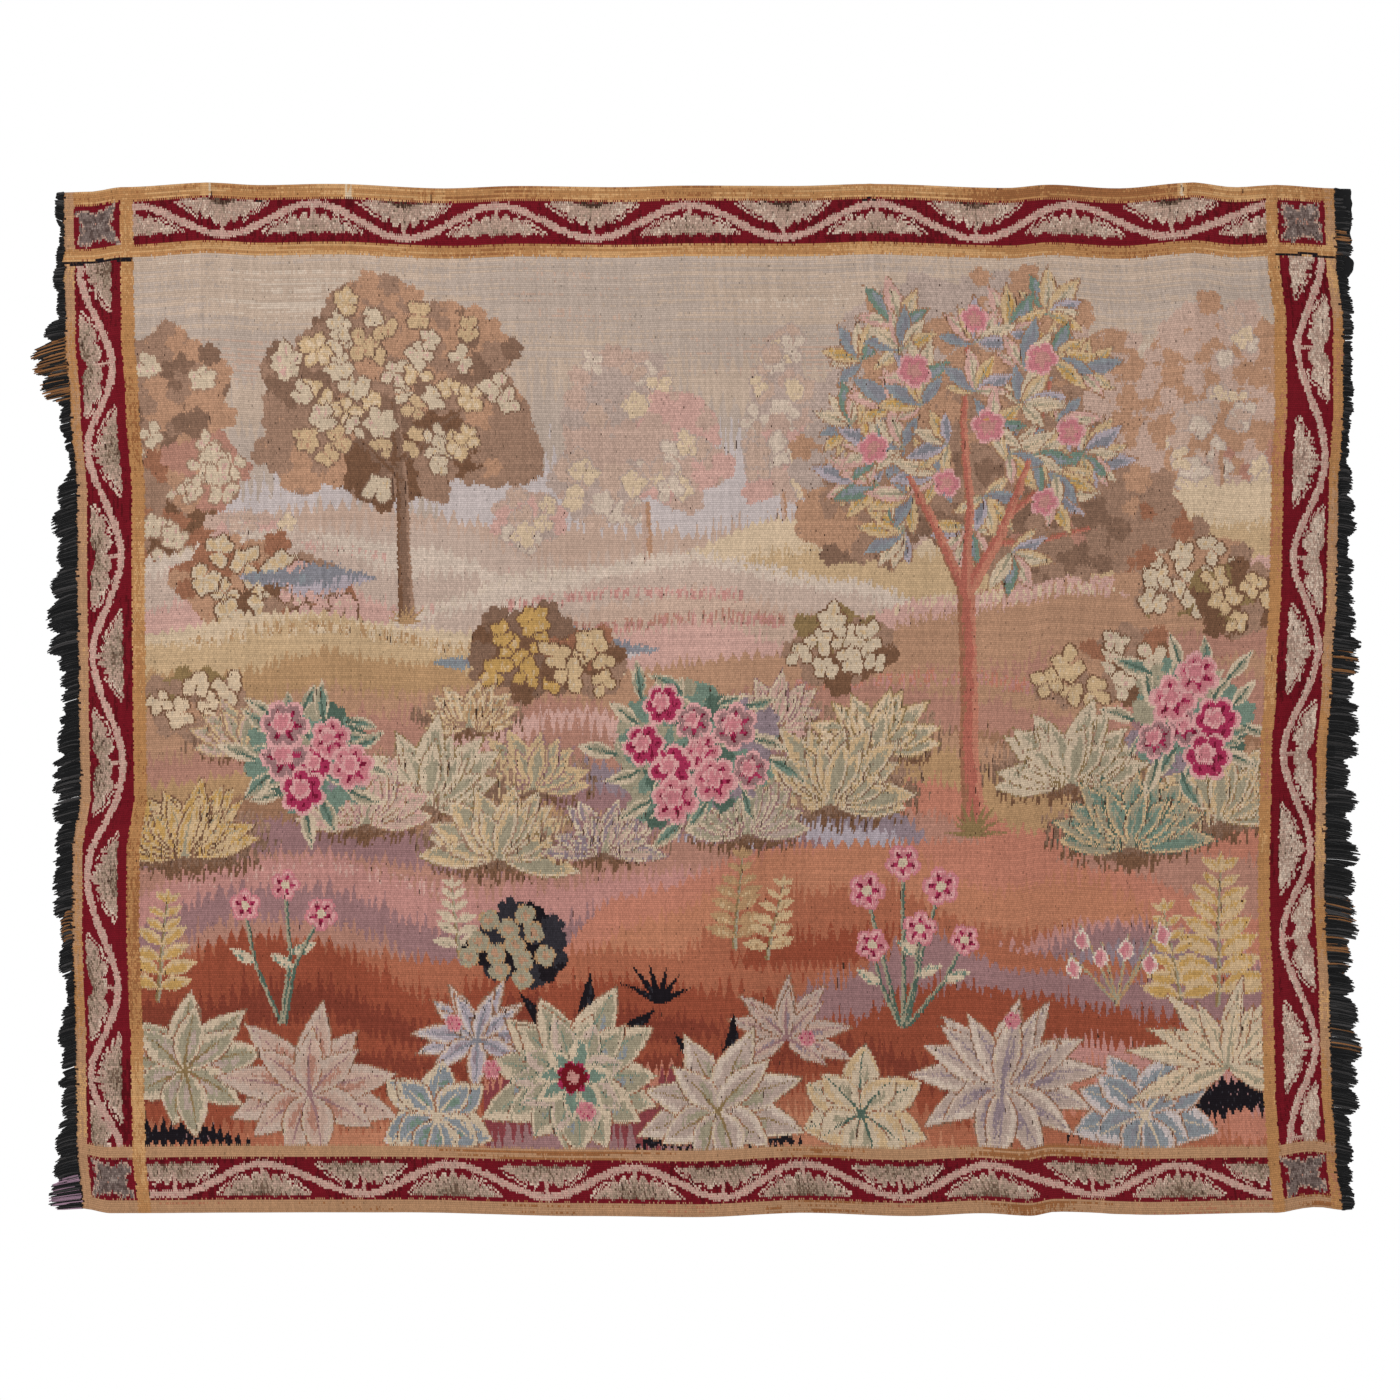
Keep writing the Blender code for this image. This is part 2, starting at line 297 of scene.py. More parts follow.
class Cartoon:
    """The weaver's pattern, seen from the front: one yarn for each weft pass at each warp.

    A motif asks it where each stitch lies. The places are shifted a little from pass to pass, so that
    colours that meet across the warps interlock in comb teeth.
    """

    def __init__(self, tooth, seed):
        self.rows = round(HEIGHT / WARP_PITCH)
        self.passes = PASSES_PER_CELL * round(WIDTH / WARP_PITCH)
        self.row_pitch = HEIGHT / self.rows
        self.pass_pitch = WIDTH / self.passes
        self.draws = np.random.default_rng(seed)
        shape = (self.rows, self.passes)
        comb = np.where(np.arange(self.passes) % 2, 0.5, -0.5) + 1.3 * (self.strokes(6, 16) - 0.5)
        sway = self.draws.uniform(-0.6, 0.6, (self.rows, 1))
        self.depth = (np.arange(self.rows)[:, None] + 0.5) * self.row_pitch + tooth * comb
        self.across = (np.arange(self.passes)[None, :] + 0.5 + sway) * self.pass_pitch
        self.yarn = np.zeros(shape, dtype=int)
        self.fleck = np.zeros(shape)
        self.lift = np.zeros(shape)
        self.stroke = self.strokes(3, 11)
        self.speck = self.draws.random(shape)
        self.patches = self.cloud(0.13, 0.1)
        self.dapple = self.cloud(0.02, 0.015)
        self.thread = self.threads(30, 150)
        self.teeth = self.comb_teeth(5, 13)

    def strokes(self, shortest, longest):
        """Chances from 0 to 1 that hold for a stretch of two passes, as upright hatching does."""
        pairs = self.passes // 2
        reach = self.draws.integers(shortest, longest, pairs)
        start = self.draws.integers(0, longest, pairs)
        chances = self.draws.random(((self.rows + longest) // shortest + 2, pairs))
        stretch = (np.arange(self.rows)[:, None] + start) // reach
        return np.repeat(np.take_along_axis(chances, stretch, axis=0), 2, axis=1)

    def threads(self, shortest, longest):
        """Chances from 0 to 1 that hold for a stretch along one warp, which streak the tones along the warps.
        """
        reach = self.draws.integers(shortest, longest, (self.rows, 1))
        start = self.draws.integers(0, longest, (self.rows, 1))
        chances = self.draws.random((self.rows, (self.passes + longest) // shortest + 2))
        return np.take_along_axis(chances, (np.arange(self.passes)[None, :] + start) // reach, axis=1)

    def comb_teeth(self, narrow, wide):
        """The outline from 0 to 1, across the web, of the pointed teeth in which two grounds meet."""
        teeth = []
        while len(teeth) < self.passes:
            count = int(self.draws.integers(narrow, wide))
            tall = self.draws.uniform(0.3, 1.0)
            teeth.extend(tall * (1 - np.abs(np.linspace(-1, 1, count))))
        return np.array(teeth[: self.passes])

    def cloud(self, long_x, long_z):
        """Slow patches from 0 to 1 over the whole web."""
        knots = self.draws.random((int(HEIGHT / long_z) + 3, int(WIDTH / long_x) + 3))
        z = np.clip(self.depth / long_z, 0, None)
        x = np.clip(self.across / long_x, 0, None)
        row, column = z.astype(int), x.astype(int)
        dz, dx = smooth(z - row), smooth(x - column)
        upper = knots[row, column] * (1 - dx) + knots[row, column + 1] * dx
        lower = knots[row + 1, column] * (1 - dx) + knots[row + 1, column + 1] * dx
        return upper * (1 - dz) + lower * dz


class Patch:
    """A window of the cartoon round a motif, with places measured from the motif's own origin."""

    def __init__(self, art, x, z, reach_x, reach_z):
        top = max(0, int((z - reach_z) / art.row_pitch) - 1)
        foot = max(top, min(art.rows, int((z + reach_z) / art.row_pitch) + 2))
        left = max(0, int((x - reach_x) / art.pass_pitch) - 1)
        right = max(left, min(art.passes, int((x + reach_x) / art.pass_pitch) + 2))
        self.cut = (slice(top, foot), slice(left, right))
        self.art = art
        self.x = art.across[self.cut] - x
        self.z = art.depth[self.cut] - z
        for chances in ("stroke", "speck", "thread", "patches", "dapple"):
            setattr(self, chances, getattr(art, chances)[self.cut])

    def lay(self, inside, tones, share=0.0, strokes=0.45, mottle=0.15, fleck=0.4, lift=0.0):
        """Weaves the tones in, first to last as share runs from 0 to 1, hatched into each other."""
        numbers = np.array([YARN_NUMBER[tone] for tone in tones.split()])
        last = len(numbers) - 1
        stir = (self.stroke - 0.5) * strokes + (self.speck - 0.5) * mottle
        pick = np.clip(np.rint(np.clip(share, 0, 1) * last + stir), 0, last).astype(int)
        self.art.yarn[self.cut][inside] = numbers[pick][inside]
        self.art.fleck[self.cut][inside] = fleck
        self.art.lift[self.cut][inside] = lift


def leaf(
    art, x, z, turn, length, width, tones, rim="", vein="", bend=0.0, belly=0.8, side=1, under="", **how
):
    """A leaf or long petal from its stalk at x, z. Turn is in degrees: 0 is to the right and 90 is down."""
    patch = Patch(art, x, z, length + width, length + width)
    cosine, sine = math.cos(math.radians(turn)), math.sin(math.radians(turn))
    along = (patch.x * cosine + patch.z * sine) / length
    aside = patch.z * cosine - patch.x * sine - bend * length * along * np.abs(along)
    body = np.clip(along, 0, 1)
    half = width / 2 * np.sin(np.pi * body**belly) + 1e-6
    inside = (along > 0) & (along < 1) & (np.abs(aside) < half)
    if under:
        shadow = (along > 0.08) & (along < 1 + UNDER_WIDTH / length) & (np.abs(aside) < half + UNDER_WIDTH)
        patch.lay(shadow & (patch.stroke > 0.25), under, 0.5, fleck=0.5)
    inward = np.clip((half - np.abs(aside)) / (0.003 + 0.24 * width), 0, 1)
    lean = 0.42 * side * aside / half
    share = 0.06 + inward * (0.58 - 0.42 * body + lean)
    patch.lay(inside, tones, share, **how)
    if rim:
        ragged = RIM_WIDTH * (0.15 + 1.5 * patch.stroke)
        patch.lay(inside & ((np.abs(aside) > half - ragged) | (along > 0.94)), rim, 0.3, **how)
    if vein:
        taper = VEIN_WIDTH * (1.9 - 1.9 * body)
        patch.lay(inside & (np.abs(aside) < taper), vein, 0.3, **how)


def blossom(art, x, z, radius, petals, tones, rim="", star="", heart="", turn=0.0, notch=0.34, **how):
    """A round flower of notched petals, with a star and a heart if it has them."""
    patch = Patch(art, x, z, radius * 1.3, radius * 1.3)
    reach = np.hypot(patch.x, patch.z) / radius
    angle = np.arctan2(patch.z, patch.x) + turn
    petal = np.abs(np.cos(petals * angle / 2))
    edge = 1 - notch + notch * np.sqrt(petal)
    patch.lay(reach < edge, tones, 1.1 - reach, **how)
    if rim:
        patch.lay((reach < edge) & (reach > edge * 0.84), rim, 0.3, **how)
    if star:
        patch.lay(reach < 0.22 + 0.46 * petal**3, star, reach, **how)
    if heart:
        patch.lay(reach < 0.27, heart, reach, **how)


def on_disc(k, count, start=0.5):
    """The angle of place k of count spread evenly over a disc, and its reach from 0 to 1."""
    return GOLDEN_ANGLE * k, math.sqrt((k + start) / count)


def around(x, z, wide, tall, angle, away):
    """The point at an angle round x, z, a share of the way out to an ellipse."""
    return x + wide * away * math.cos(angle), z + tall * away * math.sin(angle)


def crown(art, x, z, wide, tall, lobes, tones, bite=0.15, turn=0.0, **how):
    """A tree's or bush's mass of lobed leaves, light at its upper left."""

    def edge(angle):
        bays = bite * (1 - np.abs(np.sin(lobes * angle / 4 + turn)))
        return 0.96 - bays - 0.07 * np.sin(3 * angle + 4 * turn) - 0.04 * np.sin(7 * angle + 2 * turn)

    patch = Patch(art, x, z, wide * 1.15, tall * 1.15)
    share = 0.45 + 0.35 * (patch.x / wide + patch.z / tall) + 0.9 * (patch.dapple - 0.5)
    inside = np.hypot(patch.x / wide, patch.z / tall) < edge(np.arctan2(patch.z / tall, patch.x / wide))
    patch.lay(inside, tones, share, **how)
    names = tones.split()
    count = round(LOBES_PER_SQUARE_METRE * math.pi * wide * tall)
    for k in range(count):
        angle, away = on_disc(k, count, 0.6)
        angle += art.draws.uniform(-0.2, 0.2)
        away *= float(edge(angle))
        place = around(x, z, wide, tall, angle, away)
        row = min(art.rows - 1, max(0, int(place[1] / art.row_pitch)))
        column = min(art.passes - 1, max(0, int(place[0] / art.pass_pitch)))
        share = 0.45 + 0.35 * away * (math.cos(angle) + math.sin(angle))
        share += 1.3 * (art.dapple[row, column] - 0.5)
        pick = round(min(1, max(0, share + art.draws.uniform(-0.12, 0.12))) * (len(names) - 1))
        radius = min(LOBE_RADIUS, 0.32 * min(wide, tall)) * art.draws.uniform(0.7, 1.15)
        petals = int(art.draws.integers(4, 7))
        blossom(art, *place, radius, petals, names[pick], turn=art.draws.uniform(0, 6), notch=0.4, **how)


def cluster(art, x, z, size, count, tones, turn, under="", **how):
    """A few short broad leaves round one point, the way the trees and bushes carry them."""
    aims = []
    for k in range(count):
        aim = turn + 360 * k / count + art.draws.uniform(-24, 24)
        aims.append((aim, size * art.draws.uniform(0.65, 1.1)))
    wide = size * CLUSTER_LEAF_WIDTH
    if under:
        for aim, long in aims:
            shadow = long + UNDER_WIDTH, wide + 2 * UNDER_WIDTH
            leaf(art, x, z, aim, *shadow, under, belly=CLUSTER_LEAF_BELLY, fleck=0.5)
    for aim, long in aims:
        leaf(art, x, z, aim, long, wide, tones, belly=CLUSTER_LEAF_BELLY, **how)


def limb(art, points, tones):
    """A trunk or branch along points of x, z and half width, lit from the left."""
    for (x0, z0, half0), (x1, z1, half1) in zip(points, points[1:]):
        reach_x, reach_z = abs(x1 - x0) / 2 + half0, abs(z1 - z0) / 2 + half0
        patch = Patch(art, (x0 + x1) / 2, (z0 + z1) / 2, reach_x, reach_z)
        dx, dz = x1 - x0, z1 - z0
        span = math.hypot(dx, dz)
        along = ((patch.x + dx / 2) * dx + (patch.z + dz / 2) * dz) / span**2
        aside = ((patch.x + dx / 2) * dz - (patch.z + dz / 2) * dx) / span
        half = half0 + (half1 - half0) * np.clip(along, 0, 1)
        inside = (along > -0.04) & (along < 1.04) & (np.abs(aside) < half)
        patch.lay(inside, tones, 0.5 + 0.5 * aside / half, fleck=0.5)


def in_field(u, v):
    """A place across and down the field as a place across and down the cloth."""
    return FIELD_LEFT + u, FIELD_TOP + v


def field_patch(art):
    """The whole cartoon, with places measured across and down the field."""
    return Patch(art, FIELD_LEFT, FIELD_TOP, WIDTH, HEIGHT)


def field_limb(art, points, tones, thick=1.0):
    """A trunk or branch along points of the field."""
    limb(art, [(*in_field(u, v), half * thick) for u, v, half in points], tones)


def ground(art, ridge, fade, tones, tooth, start, stop, **how):
    """Ground below a ridge line of field places: flat colours that meet in comb teeth as it falls away."""
    patch = field_patch(art)
    turn = int(WIDTH / fade) * 37
    teeth = np.roll(art.teeth, turn)[patch.cut[1]][None, :] - 0.5
    below = patch.z - eased(ridge, patch.x) + 0.8 * tooth * teeth
    inside = (below > 0) & (patch.x > start) & (patch.x < stop)
    wander = np.roll(art.patches, turn, axis=1)[patch.cut] - 0.5
    share = (below + 0.2 * tooth * teeth) / fade + GROUND_BLOT * wander
    patch.lay(inside, tones, share, strokes=0.22, **how)


def hatching(art, line, height, tones, chance):
    """A row of short upright strokes along a line of field places, as on the crest of a hill."""
    start, stop = line[0][0], line[-1][0]
    patch = field_patch(art)
    off = patch.z - eased(line, patch.x)
    upright = (off > -height * patch.stroke) & (off < height * (1 - patch.stroke))
    inside = upright & (patch.x > start) & (patch.x < stop)
    patch.lay(inside & (patch.stroke > 1 - chance), tones, 0.4, fleck=0.4)


def spray(art, x, z, size, count, first, last, tones, rim, vein, width, **how):
    """Leaves fanned round one stalk, from the first turn to the last, the outer ones under the others."""
    order = sorted(range(count), key=lambda k: -abs(k - (count - 1) / 2))
    for k in order:
        turn = first + (last - first) * k / max(1, count - 1) + art.draws.uniform(-6, 6)
        length = size * art.draws.uniform(0.84, 1.06)
        bend = 0.16 * math.copysign(1, k - (count - 1) / 2 + 0.01)
        leaf(art, x, z, turn, length, size * width, tones, rim, vein, bend=bend, **how)


def rosette(art, x, z, size, tones, rim, vein, upper, lower, width, **how):
    """A broad low plant of the foreground: leaves to both sides, then over the foot, then upright."""
    spray(art, x, z, size, upper, -190, 10, tones, rim, vein, width=width, **how)
    spray(art, x, z, size * 0.78, lower, 158, 22, tones, rim, vein, width=width * 1.2, **how)
    spray(art, x, z, size * 0.8, max(2, upper - 4), -130, -50, tones, rim, vein, width=width, **how)


def fern(art, x, z, height, lean, pairs, tones, rim, **how):
    """An upright stem with paired leaflets that grow shorter to its tip."""
    tip = x + height * lean, z - height
    limb(art, ((x, z, 0.003), (*tip, 0.0012)), "sage olive_deep")
    for k in range(pairs):
        up = (k + 0.6) / pairs
        place = x + (tip[0] - x) * up, z + (tip[1] - z) * up
        length = height * (0.42 - 0.26 * up) * art.draws.uniform(0.85, 1.1)
        for side in (-1, 1):
            turn = -90 + side * (62 - 26 * up) + art.draws.uniform(-8, 8)
            form = dict(bend=0.2 * side, belly=1.0, side=side)
            leaf(art, *place, turn, length, length * 0.42, tones, rim, **form, **how)
    leaf(art, tip[0], tip[1] + height * 0.06, -90, height * 0.16, height * 0.07, tones, rim, **how)


def tuft(art, x, z, size, count, spread, tones, **how):
    """Blades of grass or a tuft of narrow leaves from one root."""
    for k in range(count):
        lean = -90 + spread * (k / (count - 1) - 0.5) + art.draws.uniform(-5, 5)
        length = size * art.draws.uniform(0.7, 1.1)
        leaf(art, x, z, lean, length, size * 0.13, tones, bend=0.004 * (lean + 90), belly=0.6, **how)


def weave_border(art):
    """The gold stripes, the crimson bands with their vine, and the four corner squares."""
    whole = Patch(art, 0, 0, WIDTH, HEIGHT)
    x, z = whole.x, whole.z
    left, right, top, bottom = (STRIPE[side] for side in ("left", "right", "top", "bottom"))
    for side in ("top", "bottom", "left", "right"):
        weave_band(art, side)
    foot = (z > FIELD_BOTTOM) & (z < FIELD_BOTTOM + bottom.inner_gold)
    stripes = (
        (z < top.outer_gold, "gold_deep gold gold_light", 0.5, 0.7),
        (z > HEIGHT - bottom.outer_gold, "gold_deep gold_faded gold_faded gold_rose", 0.5, 0.5),
        (x < left.outer_gold, "gold gold_faded gold_light", 0.45, 0.1),
        (x > WIDTH - right.outer_gold, "gold_rose gold gold_faded gold_light", 0.55, 0.1),
        ((z > FIELD_TOP - top.inner_gold) & (z < FIELD_TOP), "gold_deep gold gold_light", 0.5, 0.6),
        (foot, "gold_deep gold_faded gold_faded", 0.6, 0.6),
        ((x > FIELD_LEFT - left.inner_gold) & (x < FIELD_LEFT), "gold_deep gold gold_light", 0.5, 0.1),
        ((x > FIELD_RIGHT) & (x < FIELD_RIGHT + right.inner_gold), "gold_rose gold gold_light", 0.5, 0.1),
    )
    for inside, tones, share, streaks in stripes:
        blot = 0.8 * (whole.patches - 0.5) + streaks * (whole.thread - 0.5)
        whole.lay(inside, tones, share + blot, strokes=0.45, mottle=0.5, fleck=0.35)
    # Painted highlight: lighter gold where the pin creases catch the light
    for pin_highlight in PIN_HIGHLIGHTS:
        inside = (np.abs(x - pin_highlight.across) < pin_highlight.wide / 2) & (z < top.outer_gold)
        whole.lay(inside, "gold_light sand_light", 0.4, fleck=0.15)
    comb = 0.0008 + 0.005 * art.draws.random((art.rows, 2)) ** 4
    reach = np.where(x < WIDTH / 2, comb[:, :1], comb[:, 1:])
    whole.lay(np.minimum(x, WIDTH - x) < reach, "navy slit navy", 0.5, mottle=1.6)
    level = (np.arange(art.rows)[:, None] + 0.5) * art.row_pitch
    # Painted shadow: a dark wavy line of yarn along each open slit
    for row in TOP_SLIT_SHADOWS:
        away = np.abs(level - row.z - row.rise * np.sin(9 * (x - row.start) / (row.stop - row.start)))
        slit = (x > row.start) & (x < row.stop) & (away < row.half)
        whole.lay(slit, "navy slit", 0.3, mottle=0.6, fleck=0.6)
    for corner in CORNERS:
        weave_square(art, corner)


def weave_band(art, side):
    """A crimson band with its vine, and a leaf in each of the vine's bends."""
    stripe, vine = STRIPE[side], VINES[side]
    deep = stripe.outer_gold + stripe.band
    flat = side in ("top", "bottom")
    reach = (WIDTH / 2, deep) if flat else (deep, HEIGHT / 2)
    patch = Patch(art, *BAND_MIDDLE[side], *reach)
    run = (patch.x if flat else patch.z) + (WIDTH / 2 if flat else HEIGHT / 2)
    off = {"top": patch.z, "bottom": -patch.z, "left": patch.x, "right": -patch.x}[side]
    drop = off - stripe.outer_gold
    inside = (drop > -BAND_LAP) & (drop < stripe.band + BAND_LAP)
    share = 0.3 + 0.5 * (patch.patches - 0.5)
    patch.lay(inside, "crimson crimson_deep", share, strokes=0.5, fleck=0.28)
    middle = eased(vine, run)
    slope = (eased(vine, run + 0.001) - eased(vine, run - 0.001)) / 0.002
    away = (drop - middle) / np.sqrt(1 + slope**2) + 0.001 * (patch.stroke - 0.5)
    band = Band(side, stripe.band, patch, run, drop, middle, away, inside)
    for k, bend in enumerate(vine):
        weave_bend(band, k, bend)
    ribbon = np.abs(away) < VINE_WIDTH / 2 + 0.0006 * np.sin(170 * run)
    share = 0.4 + away / VINE_WIDTH - SIDE_SHADE[side]
    patch.lay(ribbon & inside, "vine vine border_cream", share, mottle=1.2, fleck=0.6, lift=0.0003)
    line = (np.abs(away + 0.0003) < 0.0009) & (patch.speck > 0.45)
    patch.lay(line & inside, "rose rose_pale", 0.4, mottle=0.8, fleck=0.5)
    edge = (np.abs(np.abs(away) - VINE_WIDTH / 2) < 0.0008) & (patch.speck > 0.5)
    patch.lay(edge & inside, "rose_pale vine", 0.4, mottle=0.8, fleck=0.5)


def weave_bend(band, k, bend):
    """The leaf in one bend of a band's vine, with its stem, its ragged rim and its two tendrils."""
    patch, drop = band.patch, band.drop
    outer_bay = bend.drop > band.width / 2
    form = BAY_LEAVES[BAYS[band.side][0 if outer_bay else 1]]
    rise = (drop if outer_bay else band.width - drop) - form.gap
    q = (band.run - bend.run) / form.half_length
    out = np.abs(q)
    span = np.clip(1 - out**form.power, 0, 1)
    notch = 1 - form.notch * np.exp(-((q / 0.13) ** 2))
    bumps = 0.66 + 0.34 * np.abs(np.sin(math.pi * form.bumps * (q + 0.03 * k))) ** 0.6
    top = form.tall * span**form.round * notch * bumps * 1.08 + 0.0022 * (patch.stroke - 0.5)
    base = form.waist * np.exp(-((q / 0.16) ** 2)) + 1.3 * form.ripple * np.abs(np.sin(9 * q + k))
    inside = (out < 1) & (rise > base) & (rise < top)
    stem = np.abs(band.run - bend.run) < STEM_WIDTH
    to_vine = (rise > top * 0.6) & ((drop < band.middle) if outer_bay else (drop > band.middle))
    patch.lay(stem & to_vine & band.inside, "vine vine_line", 0.2, fleck=0.5)
    depth_in = np.clip((top - rise) / form.tall, 0, 1)
    ray = np.abs(np.sin(11 * np.arctan2(q * form.half_length, np.abs(rise - base) + 0.004) + k))
    share = SIDE_SHADE[band.side] + 0.6 * depth_in * (1 - out) + 0.26 * (ray < 0.3)
    tones = "border_cream border_leaf border_leaf border_sage border_shade"
    patch.lay(inside, tones, share, strokes=0.9, mottle=1.7, fleck=0.95, lift=0.0004)
    rim = inside & ((top - rise < 0.0022 + 0.0022 * patch.stroke) | (out > 0.9))
    tones = "border_cream border_leaf border_leaf"
    patch.lay(rim, tones, 0.5 + 0.5 * np.sin(7 * q), mottle=1.4, fleck=0.6, lift=0.0003)
    tendril = (out > 0.42) & (out < 1.04) & (rise > top + 0.0024) & (rise < top + 0.0046 + 0.0012 * out)
    clear = (np.abs(band.away) > VINE_WIDTH / 2 + 0.0016) & (drop > 0.001) & (drop < band.width - 0.001)
    patch.lay(tendril & clear & band.inside, "vine border_cream", 0.5, fleck=0.5)
    if form.dark:
        dark = inside & (out < 0.42) & (rise < 0.005 + 0.003 * np.cos(8 * q))
        patch.lay(dark, "border_shade slit border_shade", 0.3, mottle=1.4, fleck=0.8)


# Painted highlights in the top gold stripe, on the creases where the cloth hangs from its pins
PIN_HIGHLIGHTS = table("across wide", (0.176, 0.013), (0.35, 0.012), (1.368, 0.011))
# Open slits, painted as dark lines of shadow: two under the top corner squares, and two where the top band is
# pulled
TOP_SLIT_SHADOWS = table(
    "start stop z rise half",
    (0.003, 0.086, 0.0872, 0.0014, 0.0016),
    (1.48, 1.554, 0.0836, 0.0013, 0.0017),
    (0.976, 0.994, 0.0185, 0.001, 0.0011),
    (0.236, 0.244, 0.019, 0.0003, 0.001),
)


def weave_square(art, corner):
    """A corner's crimson square, with its ragged four-lobed flower."""
    patch = Patch(art, corner.x, corner.z, 0.034, 0.032)
    square = (np.abs(patch.x) < corner.half_x) & (np.abs(patch.z) < corner.half_z)
    patch.lay(square, "crimson crimson_deep", 0.3, fleck=0.4)
    angle = np.arctan2(patch.z / corner.half_z, patch.x / corner.half_x) + corner.turn
    block = np.maximum(np.abs(patch.x) / corner.half_x, np.abs(patch.z) / corner.half_z)
    ragged = 0.2 * (patch.stroke - 0.5) + 0.07 * np.sin(11 * angle + 40 * corner.turn)
    edge = 0.68 + 0.2 * np.abs(np.sin(2 * angle)) ** 3 + ragged
    share = 0.62 + 0.35 * np.sin(8 * angle + 7 * block) + 0.5 * (patch.dapple - 0.5)
    look = dict(strokes=0.8, mottle=1.2, fleck=0.8, lift=0.0004)
    flower = square & (block < edge)
    patch.lay(flower, "square_light square_grey square_grey square_deep", share, **look)
    rim = flower & (block > edge - 0.14)
    patch.lay(rim, "square_light border_leaf square_grey", 0.62, mottle=1.4, fleck=0.7)
    middle = (np.abs(patch.x) < 0.008) & (np.abs(patch.z) < 0.004)
    patch.lay(middle & (patch.speck > 0.55), "rose_tan square_light", 0.3, mottle=1.2, fleck=0.6)


# The turn from each place to the next that spreads them evenly over a disc
GOLDEN_ANGLE = 2.39996
# Sizes that the motifs share: a crown's lobes, a leaf's rim, vein and shadow, and a cluster's short leaves
LOBES_PER_SQUARE_METRE = 1900
LOBE_RADIUS = 0.0165
RIM_WIDTH = 0.0026
UNDER_WIDTH = 0.002
VEIN_WIDTH = 0.0012
CLUSTER_LEAF_WIDTH = 0.66
CLUSTER_LEAF_BELLY = 1.25
# The turn from one cluster on a bush to the next, and how far out they reach
POSY_TURN = 2.4
POSY_REACH = 0.78
# How far slow patches shift the tones of a ground
GROUND_BLOT = 0.42

# A border band as it is woven: places along it, in from its outer edge, and away from its vine
Band = namedtuple("Band", "side width patch run drop middle away inside")
BAND_LAP = 0.004
VINE_WIDTH = 0.0076
STEM_WIDTH = 0.0022
BAND_MIDDLE = {
    "top": (WIDTH / 2, 0),
    "bottom": (WIDTH / 2, HEIGHT),
    "left": (0, HEIGHT / 2),
    "right": (WIDTH, HEIGHT / 2),
}
# The middle of each vine, along its band and in from the band's outer edge
VINES = {
    "top": table(
        "run drop",
        (0.087, 0.0065), (0.195, 0.0455), (0.305, 0.0065), (0.417, 0.046), (0.53, 0.007), (0.648, 0.0455),
        (0.766, 0.0065), (0.88, 0.046), (0.994, 0.007), (1.115, 0.0455), (1.235, 0.0065), (1.354, 0.046),
        (1.472, 0.007),
    ),
    "bottom": table(
        "run drop",
        (0.119, 0.007), (0.228, 0.043), (0.352, 0.007), (0.463, 0.0435), (0.577, 0.0065), (0.688, 0.043),
        (0.795, 0.007), (0.895, 0.0435), (1.013, 0.007), (1.126, 0.043), (1.25, 0.0065), (1.357, 0.043),
        (1.471, 0.007),
    ),
    "left": table(
        "run drop",
        (0.095, 0.006), (0.212, 0.043), (0.32, 0.0055), (0.4475, 0.043), (0.569, 0.0055), (0.699, 0.0425),
        (0.839, 0.006), (0.973, 0.043), (1.0835, 0.006), (1.175, 0.042),
    ),
    "right": table(
        "run drop",
        (0.084, 0.006), (0.197, 0.0435), (0.337, 0.006), (0.454, 0.043), (0.565, 0.0055), (0.693, 0.043),
        (0.809, 0.006), (0.918, 0.0435), (1.049, 0.006), (1.16, 0.043),
    ),
}
# How deep in tone the leaves of each band start
SIDE_SHADE = {"top": 0.16, "bottom": 0.46, "left": 0.44, "right": -0.06}
# The leaf in the bends that leave room at the outer edge, and the one at the inner edge
BAYS = {
    "top": ("fan", "mound"),
    "bottom": ("low_mound", "pair"),
    "left": ("twin", "belly"),
    "right": ("twin", "belly"),
}
BAY_LEAVES = {
    row.name: row
    for row in table(
        "name half_length gap tall power round notch bumps waist ripple dark",
        ("fan", 0.056, 0.001, 0.033, 1.15, 0.9, 0.0, 4.5, 0.0, 0.0012, True),
        ("mound", 0.059, 0.009, 0.0265, 1.55, 0.8, 0.0, 4.5, 0.0, 0.003, False),
        ("low_mound", 0.056, 0.0036, 0.029, 1.6, 0.8, 0.0, 4.5, 0.0, 0.0018, False),
        ("pair", 0.055, 0.005, 0.0305, 1.5, 0.8, 0.38, 3.5, 0.0, 0.0025, False),
        ("twin", 0.064, 0.0035, 0.027, 2.6, 0.9, 0.12, 2.5, 0.007, 0.0012, False),
        ("belly", 0.054, 0.0105, 0.033, 1.2, 0.9, 0.0, 5.5, 0.0, 0.0012, False),
    )
}
CORNERS = table(
    "x z half_x half_z turn",
    (0.0426, 0.0438, 0.028, 0.0268, 0.1),
    (1.5126, 0.0438, 0.0288, 0.0268, 0.25),
    (0.0426, 1.2055, 0.028, 0.0255, -0.12),
    (1.5126, 1.2055, 0.0288, 0.0255, 0.05),
)


